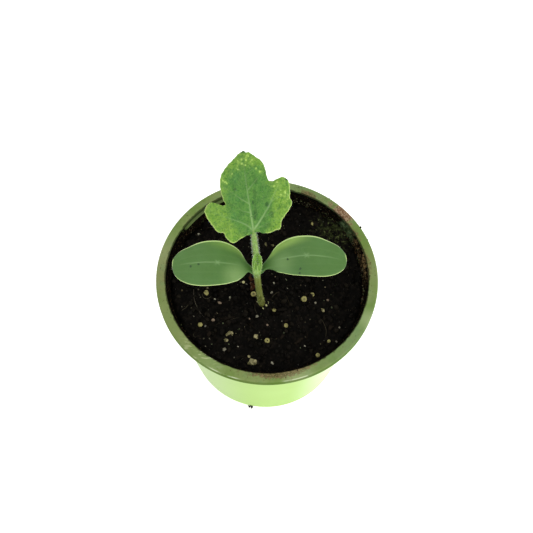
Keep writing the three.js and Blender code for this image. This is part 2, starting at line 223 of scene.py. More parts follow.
def loft(loops):
    """Points and faces of a skin over loops of equally many points, with a fan over each end."""
    rows, count = loops.shape[:2]
    index = np.arange(rows * count).reshape(rows, count)
    right = np.roll(index, -1, axis=1)
    faces = np.stack([index[:-1], right[:-1], right[1:], index[1:]], -1).reshape(-1, 4).tolist()
    faces += [(b, a, rows * count) for a, b in zip(index[0], right[0])]
    faces += [(a, b, rows * count + 1) for a, b in zip(index[-1], right[-1])]
    return np.vstack([loops.reshape(-1, 3), loops[0].mean(0), loops[-1].mean(0)]), faces


def tube(course, sides, ridges=0.0):
    """Loops of a round tube over rows of x, y, z and radius, with five low ridges along it."""
    line = course[:, :3]
    along = unit(np.gradient(line, axis=0))
    side, axes = np.cross(along[0], (0.31, 0.94, 0.12)), []
    for direction in along:
        side = unit(side - direction * (side @ direction))
        axes.append((side, np.cross(direction, side)))
    axes = np.array(axes)
    turn = np.linspace(0, TURN, sides, endpoint=False)
    ring = axes[:, None, 0] * np.cos(turn)[None, :, None] + axes[:, None, 1] * np.sin(turn)[None, :, None]
    return line[:, None] + ring * (course[:, 3:] * (1 + ridges * np.cos(5 * turn)))[..., None]


def folded_loop(across):
    """Places from -1 to 1 over a blade and back under it, and 1 where they are on top, -1 where under."""
    reach = -np.cos(np.linspace(0, np.pi, across + 1))
    upper = np.concatenate([np.ones(across + 1), -np.ones(across - 1)])
    return np.concatenate([reach, reach[-2:0:-1]]), upper


def ball(detail):
    """Points and faces of a ball of radius 1 made of triangles."""
    work = bmesh.new()
    bmesh.ops.create_icosphere(work, subdivisions=detail, radius=1)
    points, faces = np.array([v.co for v in work.verts]), [[v.index for v in f.verts] for f in work.faces]
    work.free()
    return points, faces


def turned(angle, axis="Z"):
    return np.array(Matrix.Rotation(angle, 3, axis))


def tumble(draw):
    """A random turn, as a matrix."""
    return np.array(Quaternion(draw.normal(size=4)).normalized().to_matrix())


class Heap:
    """Gathers many small bodies, with a colour for each, into one mesh."""

    def __init__(self):
        self.points, self.faces, self.tones, self.count = [], [], [], 0

    def add(self, points, faces, tint=(0, 0, 0)):
        self.points.append(points)
        self.faces += [tuple(int(i) + self.count for i in face) for face in faces]
        self.tones.append(np.column_stack([np.broadcast_to(tint, (len(points), 3)), np.ones(len(points))]))
        self.count += len(points)

    def lump(self, base, centre, size, draw, tint, rough=0.25, shade=1.0, flat=False):
        """A ball with dents: size is its three half widths. Flat lumps turn round the upright axis only."""
        points, faces = base
        dents = 1 + rough * np.sin(points @ draw.normal(size=(3, 3)) * 2.1 + draw.random(3) * 9).sum(1) / 2
        turn = turned(draw.random() * TURN) if flat else tumble(draw)
        self.add((points * dents[:, None] * size) @ turn.T + centre, faces, colour(tint) * shade)

    def mesh(self):
        return np.vstack(self.points), self.faces

    def piece(self, name, material, slot):
        made = new_piece(name, self.mesh(), material)
        paint(made, "tone", np.vstack(self.tones))


def new_object(name, mesh_parts, material=None):
    points, faces = mesh_parts
    mesh = bpy.data.meshes.new(name)
    mesh.from_pydata((np.asarray(points) * MM).tolist(), [], faces)
    if material:
        mesh.materials.append(material)
    made = bpy.data.objects.new(name, mesh)
    bpy.context.scene.collection.objects.link(made)
    return made


def new_piece(name, mesh_parts, material, node=None):
    """Makes a piece and ties it to the frame's root body, and hides the CAD node that it stands for."""
    made = new_object(name, mesh_parts, material)
    if node:
        work = bmesh.new()
        work.from_mesh(made.data)
        bmesh.ops.recalc_face_normals(work, faces=work.faces)
        work.to_mesh(made.data)
        work.free()
    made.data.shade_smooth()
    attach(made, "root")
    if node:
        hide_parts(node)
    return made


def worked(made, **modifiers):
    """Works modifiers, each named by its type and given as its settings, into an object's mesh."""
    for kind, settings in modifiers.items():
        modifier = made.modifiers.new(kind, kind)
        for key, value in settings.items():
            setattr(modifier, key, value)
    bpy.context.view_layer.update()
    mesh = bpy.data.meshes.new_from_object(made.evaluated_get(bpy.context.evaluated_depsgraph_get()))
    old = made.data
    made.modifiers.clear()
    made.data = mesh
    bpy.data.meshes.remove(old)
    mesh.shade_smooth()


def paint(made, name, values):
    """Stores a number or a colour for each point of the mesh, for its finish to read."""
    values = np.asarray(values, np.float32)
    kind, field = ("FLOAT", "value") if values.ndim == 1 else ("FLOAT_COLOR", "color")
    made.data.attributes.new(name, kind, "POINT").data.foreach_set(field, values.ravel())


# ---------------------------------------------------------------- finishes


class Value:
    """A socket in a finish's nodes that reads like a number in an expression."""

    def __init__(self, finish, socket):
        self.finish, self.socket = finish, socket

    def _math(self, operation, *values):
        return self.finish.node("ShaderNodeMath", {"operation": operation}, dict(enumerate(values)))

    def __add__(self, other):
        return self._math("ADD", self, other)

    def __sub__(self, other):
        return self._math("SUBTRACT", self, other)

    def __rsub__(self, other):
        return self._math("SUBTRACT", other, self)

    def __mul__(self, other):
        return self._math("MULTIPLY", self, other)

    __radd__ = __add__
    __rmul__ = __mul__

    def above(self, low, high):
        """0 under low, 1 over high, and a soft step between them. With high under low it falls instead."""
        return self.finish.node("ShaderNodeMapRange", {"interpolation_type": "SMOOTHSTEP"},
                                {"Value": self, "From Min": low, "From Max": high})

    def at_least(self, other):
        return self._math("MAXIMUM", self, other)


class Finish:
    """A material made by expressions, whose places are in millimetres."""

    def __init__(self, name):
        self.material = bpy.data.materials.new(name)
        self.material.use_nodes = True
        self.nodes = self.material.node_tree.nodes
        self.links = self.material.node_tree.links
        self.place = self.vector("MULTIPLY", self.node("ShaderNodeTexCoord", {}, {}, "Object"), (1 / MM,) * 3)

    def node(self, kind, settings, values, output=0):
        """Adds a node: its settings first, then its sockets' values or links. Gives one of its outputs."""
        made = self.nodes.new(kind)
        for key, setting in settings.items():
            setattr(made, key, setting)
        for key, value in values.items():
            self.feed(made.inputs[key], value)
        return Value(self, made.outputs[output])

    def feed(self, socket, value):
        """Links a value to a socket, or sets it. A colour is three numbers or a code."""
        if isinstance(value, Value):
            self.links.new(value.socket, socket)
        elif socket.type == "RGBA":
            socket.default_value = (*(colour(value) if isinstance(value, str) else value), 1)
        else:
            socket.default_value = value

    def vector(self, operation, one, other, output="Vector"):
        return self.node("ShaderNodeVectorMath", {"operation": operation}, {0: one, 1: other}, output)

    def stored(self, name, output="Fac"):
        settings = {"attribute_name": name, "attribute_type": "GEOMETRY"}
        return self.node("ShaderNodeAttribute", settings, {}, output)

    def clouds(self, size, detail=3.0, stretch=(1, 1, 1)):
        """Noise from 0 to 1 with clouds of about this size. stretch scales each axis."""
        values = {"Vector": self.vector("MULTIPLY", self.place, stretch), "Scale": 1 / size, "Detail": detail}
        return self.node("ShaderNodeTexNoise", {}, values, "Fac")

    def spots(self, size):
        """Distance to the nearest of scattered points, in cells of this size."""
        return self.node("ShaderNodeTexVoronoi", {}, {"Vector": self.place, "Scale": 1 / size}, "Distance")

    def part(self, axis):
        return self.node("ShaderNodeSeparateXYZ", {}, {"Vector": self.place}, axis)

    def near(self, height, *zones):
        """The most of round zones at one height: x, y, the reach at which each fades to 0, and strength."""
        most = 0.0
        for x, y, reach, strength in zones:
            away = self.vector("DISTANCE", self.place, (x, y, height), "Value")
            most = (away.above(reach, 0.0) * strength).at_least(most)
        return most

    def axis_distance(self):
        return self.vector("LENGTH", self.vector("MULTIPLY", self.place, (1, 1, 0)), (0, 0, 0), "Value")

    def mix(self, one, other, share):
        """One colour over the other by a share."""
        return self.node("ShaderNodeMix", {"data_type": "RGBA"}, {0: share, 6: one, 7: other}, 2)

    def coats(self, base, *layers):
        """Lays colours over a base in turn, each given as a colour and its share."""
        for other, share in layers:
            base = self.mix(base, other, share)
        return base

    def bump(self, height, distance):
        """A normal that shows heights from 0 to 1 as relief of this many millimetres."""
        return self.node("ShaderNodeBump", {}, {"Height": height, "Distance": distance * MM})

    def done(self, base, roughness, normal=None, gloss=0.22, flesh=None, **sockets):
        """Sets the shader's sockets. Flesh is how much light sinks in, how far by colour, and its scale."""
        sockets |= {"Base_Color": base, "Roughness": roughness, "Specular_IOR_Level": gloss}
        if normal:
            sockets["Normal"] = normal
        if flesh:
            sockets |= {"Subsurface_Weight": flesh[0], "Subsurface_Radius": flesh[1],
                        "Subsurface_Scale": flesh[2] * MM}
        for key, value in sockets.items():
            self.feed(self.nodes["Principled BSDF"].inputs[key.replace("_", " ")], value)
        return self.material


# ---------------------------------------------------------------- nursery pot


def rounded(corners, steps=5):
    """A profile with small arcs at its corners, which are rows of radius, height and rounding."""
    rows = np.array(corners, float)
    out = [rows[0, :2]]
    for before, here, after in zip(rows[:-2], rows[1:-1], rows[2:]):
        back, on = unit(before[:2] - here[:2]), unit(after[:2] - here[:2])
        start, end = here[:2] + back * here[2], here[:2] + on * here[2]
        out.append(start + back * 0.2)
        for t in np.linspace(0, 1, steps):
            out.append(start * (1 - t) ** 2 + here[:2] * 2 * t * (1 - t) + end * t * t)
        out.append(end + on * 0.2)
    return np.array([*out, rows[-1, :2]])


def wall_radius(z):
    """Radius of the pot's outer wall at a height."""
    return FOOT_RADIUS + z * ((COLLAR_RADIUS - FOOT_RADIUS) / (RIM_TOP - LIP_DEPTH))


def inner_radius(z):
    return FOOT_RADIUS - WALL + (LEDGE_RADIUS - FOOT_RADIUS + WALL) * z / (RIM_TOP - LEDGE_DROP)


def hoop(radius, z, turn):
    """A loop round the pot's axis."""
    return np.stack([radius * np.cos(turn), radius * np.sin(turn), z + 0 * turn], -1)


def add_blocks(blocks, count, size, radius, z, start=0.0):
    """Adds blocks that lie radially round the axis."""
    corners = np.array([[x, y, z0] for x in (-1, 1) for y in (-1, 1) for z0 in (-1, 1)]) / 2
    faces = [(0, 1, 3, 2), (4, 6, 7, 5), (0, 4, 5, 1), (2, 3, 7, 6), (0, 2, 6, 4), (1, 5, 7, 3)]
    for i in range(count):
        blocks.add((corners * size + (radius, 0, z)) @ turned(start + TURN * i / count).T, faces)


POT_SIDES = 232
# Cuts through the pot: how many, their size, distance from the axis, height and first bearing.
SLOTS = (8, (11, 3.6, 8), 31, FLOOR_HIGH)
NOTCHES = (4, (7.8, 3.6, 3.2), FOOT_RADIUS, 0, TURN / 8)
# Zones of the rim: x, y, reach and strength.
# Pale patches of the rim; those at the front right are painted highlights.
PALE_AND_HIGHLIGHT_ZONES = ((53, 2, 17, 0.15), (-53, 12, 22, 0.25), (16, -51, 12, 0.35), (49, -22, 8, 0.4),
              (-27, -47, 12, 0.25))
RUDDY_ZONES = ((38.3, 35.8, 11, 1), (32.0, 41.4, 4.5, 0.6), (41.8, 30.2, 4.5, 0.55))
SMEARED_ZONES = ((8, -50, 30, 1.25), (50, 8, 16, 0.7), (-50, 2, 20, 0.4), (20.5, 47.5, 8, 1.1),
                 (44, 24, 9, 0.8))


def rim_colour(f, look, cloud, fine, depth, top):
    """Olive, paler in patches, some of them painted highlights, darker on the lip's face and inside as
    painted shade, and with a painted highlight in places along its edge.
    """
    # Painted highlight: a thin pale line on the rim's rounded outer edge, at the front.
    edge = f.axis_distance().above(54.4, 54.7) * depth.above(0.75, 0.55) * f.clouds(4, 2.0).above(0.36, 0.56)
    lit = f.near(RIM_TOP, (-19.5, -51, 11, 1), (16, -52.4, 10, 1)).above(0.0, 0.5)
    return f.coats(
        look.rim,
        ("828f58", cloud.above(0.38, 0.7) * 0.8),
        ("62773a", fine.above(0.45, 0.75) * 0.5),
        ("7d7b50", f.near(RIM_TOP, (-52, 4, 24, 1), (51, 6, 16, 0.6)) * (cloud * 0.6 + 0.35)),
        ("5f8350", f.clouds(4.5).above(0.5, 0.7) * 0.4),
        ("6c8c60", f.near(RIM_TOP, (42, -34, 34, 0.4))),
        ("88905f", f.near(RIM_TOP, (-44, -24, 30, 0.5))),
        ("81946e", f.near(RIM_TOP, (22, 50, 44, 0.3))),
        ("a5ae88", 0.05),
        *(("b3c08f", f.near(RIM_TOP, zone)) for zone in PALE_AND_HIGHLIGHT_ZONES),
        # Painted shade: darker below the rim's top, on the lip's face and inside.
        ("3f5c1e", (1 - top) * 0.5),
        ("dfe8c4", edge * lit * 0.55))


def pot_finish(look):
    """Lime moulded plastic, olive on the rim and inside, with stains of dried mix, and with painted light and
    shade.
    """
    f = Finish("pot plastic")
    x, y, z, r = f.part("X"), f.part("Y"), f.part("Z"), f.axis_distance()
    depth = RIM_TOP - z
    cloud, fine, grit = f.clouds(9, 4.0), f.clouds(1.7, 4.0), f.clouds(0.6)
    coarse = grit.above(0.42, 0.66)
    inside = (wall_radius(z) - r).above(0.5, 1.1) * depth.above(0.2, 0.6)
    top, lip = depth.above(0.8, 0.15), depth.above(LIP_DEPTH - 0.7, LIP_DEPTH - 1.0)
    wall = f.coats(
        look.wall,
        # Painted light and shade on the wall: greyer to the left, fading to white at the far left, and near
        # white on the front right.
        ("c2cfb0", x.above(-4, -40) * 0.85),
        ("dfe9d0", x.above(-30, -46) * 0.6),
        ("e5f6d2", x.above(12, 38) * y.above(14, -14) * 0.9),
        ("c0de92", f.clouds(26, 2.0).above(0.35, 0.75) * 0.25))
    ruddy = f.near(RIM_TOP, *RUDDY_ZONES) * 1.1 + fine * 0.8 + grit * 0.5
    ruddy = ruddy.above(0.98, 1.48) * top * look.dirt
    smear = r.above(54.2, 51.0) * 0.5 + f.near(RIM_TOP, *SMEARED_ZONES) * 0.55 + fine * 0.75 + grit * 0.95
    smear = smear.above(1.52, 1.82) * top * look.dirt
    mouth = (f.clouds(2.6, 4.0) * 0.9 + r.above(51.6, 50.3) * 0.7).above(0.85, 1.1)
    # Pale scratches at the front left, partly a painted highlight.
    scratch_and_highlight = f.clouds(1.2, 2.0, (0.3, 1, 1)).above(0.56, 0.62) * f.near(RIM_TOP, (-31, -43, 17, 0.6))
    deep = depth.above(LEDGE_DROP + 0.2, LEDGE_DROP + 1.0) * x.above(5, -5)
    bare = f.near(83, (-37, 33, 15, 1), (-22, 44, 13, 1)).at_least(f.near(80.5, (39, 27, 12, 0.7)))
    caked = depth.above(0.4, 1.8) * 0.9 + deep * 2.2 + f.clouds(2.6, 4.0) * 0.9 - bare * 1.25
    caked = caked.above(0.75, 1.0) * inside
    brown = f.near(83, (49, 13, 21, 1)) * fine.above(0.42, 0.6) * 1.6
    crust = grit.above(0.56, 0.74).at_least(brown * grit.above(0.38, 0.6))
    base = f.coats(
        wall,
        (rim_colour(f, look, cloud, fine, depth, top), lip.at_least(inside)),
        (f.mix("6e4836", "b39a80", coarse), ruddy * 0.9),
        (f.mix("4f3626", "8a6c52", coarse), smear * 0.7),
        ("42351f", f.spots(1.9).above(0.15, 0.07) * f.clouds(5, 2.0).above(0.48, 0.62) * top * 0.75),
        ("1e1a11", mouth * top * 0.75),
        ("c3ca9a", scratch_and_highlight * top),
        ("5d6c42", inside * f.near(83, (-33, 38, 24, 1))),
        # Painted shade on the step's wall under the rim's inner edge.
        ("2c3b1a", inside * r.above(50.0, 50.2) * depth.above(0.3, 0.7) * 0.8),
        # Darker green inside on the right, mottled like algae; the darkening is partly painted shade.
        (f.mix("1f2a16", "46573a", fine.above(0.4, 0.62)), inside * x.above(0, 25)),
        ("6c7648", f.near(81, (41, 24, 24, 0.7)) * f.clouds(0.9).above(0.56, 0.64) * inside),
        (f.mix("080705", f.mix("443524", "75603f", brown), crust), caked))
    soiled = ruddy.at_least(caked).at_least(smear)
    relief = f.bump(grit * 0.25 + soiled * fine * 0.9, 0.18)
    return f.done(base, soiled * 0.35 + fine * 0.12 + 0.36, relief, gloss=0.0)


class SEEDLING_OT_pot(bpy.types.Operator):
    """Turns the tapered nursery pot, cuts its drainage slots and foot notches, and finishes its plastic"""
    bl_idname = "seedling.pot"
    bl_label = "Nursery pot"

    def execute(self, context):
        look = context.scene.seedling_pot
        profile = rounded([
            (0.02, FLOOR_LOW + 0.6, 0), (2.4, FLOOR_LOW + 0.6, 0.3), (3.0, FLOOR_LOW, 0.3),
            (18.0, FLOOR_LOW, 0.2), (18.4, FLOOR_LOW - 0.5, 0.15), (19.2, FLOOR_LOW - 0.5, 0.15),
            (19.6, FLOOR_LOW, 0.2), (FOOT_RADIUS - 3.1, FLOOR_LOW, 0.5), (FOOT_RADIUS - 2.6, 0, 0.25),
            (FOOT_RADIUS, 0, 0.6), (wall_radius(LIP_DEPTH), LIP_DEPTH, 0.3),
            (COLLAR_RADIUS, RIM_TOP - LIP_DEPTH, 0.35), (RIM_RADIUS - 0.15, RIM_TOP - LIP_DEPTH, 0.4),
            (RIM_RADIUS, RIM_TOP, look.round_edge / MM), (MOUTH_RADIUS, RIM_TOP, 0.45),
            (MOUTH_RADIUS - 0.05, RIM_TOP - LEDGE_DROP, 0.3), (LEDGE_RADIUS, RIM_TOP - LEDGE_DROP, 0.3),
            (inner_radius(FLOOR_HIGH), FLOOR_HIGH, 2.0), (0.02, FLOOR_HIGH, 0),
        ])
        loops = hoop(profile[:, :1], profile[:, 1:], np.linspace(0, TURN, POT_SIDES, endpoint=False))
        pot = new_piece("nursery_pot", loft(loops), pot_finish(look), "pot")
        blocks = Heap()
        for cuts in (SLOTS, NOTCHES):
            add_blocks(blocks, *cuts)
        cutters = new_object("cutters", blocks.mesh())
        worked(pot, BOOLEAN={"operation": "DIFFERENCE", "solver": "EXACT", "object": cutters})
        bpy.data.objects.remove(cutters)
        pot.data.set_sharp_from_angle(angle=math.radians(50))
        return {"FINISHED"}


# ---------------------------------------------------------------- potting mix

BED_SIDES = 540
BED_RINGS = 122
# Layers of the mix's surface: size, height and seed of its smooth hills, and of its round clods and crumbs.
HILLS = ((15, 1.2, 1), (7, 1.2, 2), (3.4, 0.8, 3), (1.7, 0.35, 4))
CLODS = ((3.1, 0.9, 11), (1.5, 0.55, 21), (0.8, 0.3, 31))
# Crumbs caked on the wall over the mix: from and to which bearing, and how many.
CAKES = ((-14, 84, 560), (105, 178, 100), (200, 320, 40))


def from_stem(x, y):
    return np.hypot(x - SOIL_POINT[0], y - SOIL_POINT[1])


def mix_height(x, y):
    """Height of the mix: hills, clods and hollows, banks at the back and at the stem, a fall at the wall."""
    distance = np.hypot(x, y)
    z = SOIL_LEVEL + 0.5 * np.cos(distance / 16)
    for cell, height, seed in HILLS:
        z = z + height * (waves(x, y, cell, seed) - 0.5)
    for cell, height, seed in CLODS:
        near, _, draw = cells(x, y, cell, seed)
        z = z + height * draw**1.6 * arc((near / 0.6) ** 2)
    z = z - 1.3 * soft_step(waves(x, y, 6, 41), 0.66, 0.9)
    bank = around(1, math.radians(38))
    towards = np.maximum(0, (x * bank[0] + y * bank[1]) / inner_radius(SOIL_LEVEL))
    z = z + 2.9 * towards**7 * (0.55 + 0.9 * waves(x, y, 3, 51))
    z = z + 2.0 * np.exp(-((from_stem(x, y) / 4.6) ** 4))
    return z - 0.8 * soft_step(distance, 46.8, 48.2)


def rest_on_mix(x, y, rise):
    return np.array([x, y, float(mix_height(np.array(x), np.array(y))) + rise])


def around(radius, turn):
    return np.array([radius * math.cos(turn), radius * math.sin(turn)])


def scattered(draw, reach):
    """A random place within a reach of the pot's axis."""
    radius = reach * math.sqrt(draw.random())
    return around(radius, TURN * draw.random())


def pick(draw, tints):
    """One of the codes in a string of them."""
    codes = tints.split()
    return codes[draw.integers(len(codes))]


def mix_finish(look):
    """Moist peat: near black and browner on its crumbs, with painted light, greener and paler, on the bank in
    the far corner on the right.
    """
    f = Finish("potting mix")
    crumb, fine = f.stored("crumb"), f.clouds(0.9, 4.0)
    bank_light = f.clouds(2.4, 4.0).above(0.42, 0.62) * f.clouds(0.8).above(0.35, 0.6)
    base = f.coats(
        "070604",
        (look.peat, (crumb * 0.7 + fine * 0.5).above(0.4, 0.95)),
        ("241d13", crumb.above(0.72, 1.0) * f.clouds(16).above(0.45, 0.7) * 0.6),
        ("4a3d2c", f.spots(1.6).above(0.14, 0.05) * fine.above(0.5, 0.65) * 0.55),
        # Painted light on the bank in the far right corner, in green mottles and pale flecks.
        ("3f4824", f.near(80, (35, 30, 15, 0.8)) * bank_light),
        ("707848", f.near(80, (35, 31, 19, 0.75)) * f.clouds(1.5, 5.0).above(0.55, 0.7)))
    return f.done(base, fine * 0.35 + 0.5, f.bump(fine, 0.25), gloss=0.04)


def litter_finish(name, roughness, gloss=0.06):
    """A finish that takes each small body's own colour and breaks it up a little."""
    f = Finish(name)
    fine = f.clouds(0.5)
    base = f.mix(f.stored("tone", "Color"), "0e0b08", fine.above(0.48, 0.72) * 0.6)
    return f.done(base, fine * 0.2 + roughness, f.bump(fine, 0.15), gloss)


class SEEDLING_OT_mix(bpy.types.Operator):
    """Raises the potting mix with its clods, crumbs and hollows, and heaps loose crumbs on it"""
    bl_idname = "seedling.mix"
    bl_label = "Potting mix"

    def execute(self, context):
        look = context.scene.seedling_mix
        edge = inner_radius(SOIL_LEVEL) - 0.15
        turn = np.linspace(0, TURN, BED_SIDES, endpoint=False)
        foot = inner_radius(8)
        plug = ((1.0, 5.4), (foot - 2.9, 5.4), (foot - 0.3, 8.0), (edge - 0.3, 70.0))
        loops = [hoop(radius, z, turn) for radius, z in plug]
        for radius in np.linspace(edge, 0.2, BED_RINGS):
            ring = hoop(radius, 0.0, turn)
            ring[:, 2] = mix_height(ring[:, 0], ring[:, 1])
            loops.append(ring)
        skin = loft(np.array(loops))
        bed = new_piece("potting_mix", skin, mix_finish(look), "soil")
        near, _, draw = cells(*skin[0][:, :2].T, 1.5, 21)
        paint(bed, "crumb", draw * (1 - 0.6 * near))
        self.crumbs(look)
        return {"FINISHED"}

    def crumbs(self, look):
        draw = np.random.default_rng(7)
        heap, small, large = Heap(), ball(1), ball(2)
        smallest, largest = 0.25, look.crumb_size / MM
        tints = "080605 0e0b08 14110c 18140e 0a0806 1c1811 12100c"
        for _ in range(look.crumbs):
            place = scattered(draw, inner_radius(SOIL_LEVEL) - 1.0)
            if from_stem(*place) < STEM_GAP:
                continue
            size = smallest + (largest - smallest) * draw.random() ** 4
            heap.lump(large if size > 0.45 else small, rest_on_mix(*place, size * 0.25),
                      size * draw.uniform(0.6, 1.1, 3), draw, pick(draw, tints))
        for bearing in range(0, 360, 18):
            turn = math.radians(bearing + draw.uniform(-6, 6))
            x, y = SOIL_POINT[:2] + draw.uniform(2.3, 3.1) * around(1, turn)
            heap.lump(large, rest_on_mix(x, y, 0.25), draw.uniform(0.5, 1.0, 3), draw, pick(draw, tints))
        for low, high, count in CAKES:
            for _ in range(count):
                turn = math.radians(draw.uniform(low, high))
                z = RIM_TOP - 2.6 - 6 * draw.random() ** 0.6
                size = 0.15 + 0.5 * draw.random() ** 2
                place = (*around(inner_radius(z) - size * 0.35, turn), z)
                heap.lump(small, place, size * draw.uniform(0.5, 1.1, 3), draw,
                          pick(draw, "14100b 2c2115 4a3822 3b2d1d 1c1710 4c5134 5c5a44"),
                          shade=draw.uniform(0.4, 1.1))
        heap.piece("mix_crumbs", litter_finish("crumb", 0.6), "potting_mix")


# ---------------------------------------------------------------- grains and litter

# Fertiliser balls, tan and white lumps that stand out in the mix: x, y and radius.
BALLS = [
    (-30.3, -6.6, 1.5), (-6.6, -7.5, 1.5), (18.6, -9.4, 1.6), (22.7, -6.7, 1.2), (23.3, 33.6, 1.15),
    (9.8, -23.1, 1.15), (0.7, -31.4, 1.4), (30.8, -30.9, 0.9), (25.4, -38.0, 1.15), (3.9, -14.8, 1.1),
    (-36.5, 21.0, 1.0), (-32.2, -24.0, 1.3),
]
TAN_LUMPS = [
    (-17.7, -28.9, 2.7), (-19.4, -31.7, 1.3), (-5.0, -29.4, 1.5), (-6.3, -42.7, 2.8), (-7.9, -39.8, 1.1),
    (28.0, -14.6, 1.4), (-0.6, 20.9, 1.5), (2.4, 20.5, 1.1),
]
WHITE_LUMPS = [
    (-36.0, 26.6, 0.6), (-18.3, -9.0, 0.65), (-26.0, -21.4, 0.85), (-19.8, -36.6, 1.05), (-4.5, -18.9, 0.75),
    (-8.2, -20.1, 0.5), (0.6, -23.0, 0.6), (24.4, -11.2, 0.6), (-13.4, -34.8, 0.55), (3.3, -43.0, 0.8),
    (34.4, -31.0, 0.65), (19.1, -33.9, 0.5), (36.0, -23.6, 0.5), (3.4, -1.2, 0.6), (-25.6, -9.8, 0.9),
    (-23.4, -11.9, 0.85), (-29.0, 18.0, 0.7), (30.4, -9.5, 0.8), (-1.7, -15.6, 0.5), (-4.4, -12.9, 0.55),
    (0.7, -12.7, 0.6), (-0.1, -14.1, 0.6), (2.5, -6.1, 0.7), (10.0, -3.8, 0.7), (9.4, 1.5, 0.5),
    (4.1, 2.1, 0.45),
]


class SEEDLING_OT_grains(bpy.types.Operator):
    """Sets the fertiliser balls, perlite and grit into the mix"""
    bl_idname = "seedling.grains"
    bl_label = "Grains"

    def execute(self, context):
        look = context.scene.seedling_mix
        draw = np.random.default_rng(19)
        heap, round_ball, lump, speck = Heap(), ball(4), ball(3), ball(1)
        for row in BALLS:
            self.fertiliser(heap, draw, round_ball, *row)
        for x, y, radius in TAN_LUMPS:
            for part in range(8):
                tint = pick(draw, "8f8a60 76704a a39b70 5f5a38")
                dx, dy = draw.uniform(-0.55, 0.55, 2) * radius * (part > 0)
                size = radius * (draw.uniform(0.2, 0.42) if part else 0.66)
                heap.lump(lump, rest_on_mix(x + dx, y + dy * 0.7, radius * 0.12),
                          size * np.array((1.0, draw.uniform(0.8, 1.0), 0.7)), draw, tint, 0.35)
        heap.lump(lump, rest_on_mix(-11.9, -0.9, 0.3), (0.8, 0.7, 0.7), draw, "c4c088", 0.1)
        for x, y, radius in WHITE_LUMPS:
            tint = pick(draw, "97947f 7d7866 a5a18c 84725e")
            rise, size = radius * 0.2, radius * np.array((1.0, draw.uniform(0.6, 1.0), 0.7))
            if from_stem(x, y) < 3.2:
                tint, rise = "b3b57c", rise + 0.9
            heap.lump(lump, rest_on_mix(x, y, rise), size, draw, tint, 0.3)
        for _ in range(look.specks):
            x, y = scattered(draw, inner_radius(SOIL_LEVEL) - 2)
            size = 0.14 + 0.42 * draw.random() ** 2.5
            if from_stem(x, y) > STEM_GAP:
                heap.lump(speck, rest_on_mix(x, y, size * 0.4), size * draw.uniform(0.6, 1.2, 3), draw,
                          pick(draw, "8f8a72 a79a72 6f6a52 c8c4b4 7a6846 565240 94a070"), 0.3,
                          draw.uniform(0.08, 0.5))
        heap.piece("grains", litter_finish("grains", 0.45, 0.3), "potting_mix")
        return {"FINISHED"}

    def fertiliser(self, heap, draw, round_ball, x, y, radius):
        """A tan ball with a dark pit on top, and painted shade on its lower side."""
        points, faces = round_ball
        radius *= 0.92
        facing = points @ unit(turned(draw.uniform(-0.5, 0.3), "X") @ np.array((0.1, -0.25, 0.95)))
        dents = 0.03 * np.sin(points @ draw.normal(size=3) * 5) - 0.16 * soft_step(facing, 0.78, 0.97)
        core = (soft_step(facing, 0.76, 0.95) * draw.uniform(0.25, 0.8))[:, None]
        tint = colour("9a9459") + (colour("443d1f") - colour("9a9459")) * core
        # Painted shade: darker on the side that faces down.
        shade = (0.75 + 0.35 * soft_step(facing, -0.6, 0.5))[:, None]
        place = rest_on_mix(x, y, radius * 0.3)
        heap.add(points * (1 + dents)[:, None] * (radius, radius, radius * 0.9) + place, faces, tint * shade)


# Chips of bark beside the stem: x, y, half length, half width, bearing and colour.
CHIPS = [
    (-8.0, -1.2, 0.5, 0.4, 40, "6e5844"), (-7.7, -3.6, 0.5, 0.35, 100, "5f4a38"),
    (-6.8, 0.8, 0.4, 0.3, 10, "6a523c"), (-7.3, -2.2, 1.4, 0.8, 96, "382012"),
    (-6.3, -0.8, 1.2, 0.7, 60, "2b150d"), (-8.2, 0.9, 1.3, 0.7, 120, "44291a"),
    (-7.2, -4.4, 1.1, 0.6, 20, "3f2818"), (-6.0, -3.4, 0.9, 0.6, 140, "4a2413"),
    (-8.3, 2.6, 0.9, 0.5, 80, "3b2c20"),
]
# Drifts of dried mix on the rim: bearing, spread, count and colour.
DRIFTS = [
    (45, 9, 150, "8a6650"), (60, 8, 60, "6f5540"), (72, 4, 40, "5d4632"), (-92, 22, 70, "5f4a36"),
    (8, 14, 30, "574632"), (184, 22, 40, "5c5238"), (128, 30, 24, "4c4030"), (-40, 12, 26, "6a5a42"),
]
# Dark crumbs at the pot's foot: x, y from the foot's front, size and colour.
FOOT_CRUMBS = ((-8.0, 0.1, 0.9, "1d1a08"), (-6.9, -0.35, 1.0, "0c0a05"), (-8.9, 0.5, 0.4, "2a2a12"))
# The longest fibre on the mix, as x and y.
LONG_FIBRE = ((-36.6, -4.0), (-36.5, -8.0), (-35.3, -12.5), (-33.2, -16.5), (-30.6, -19.8))


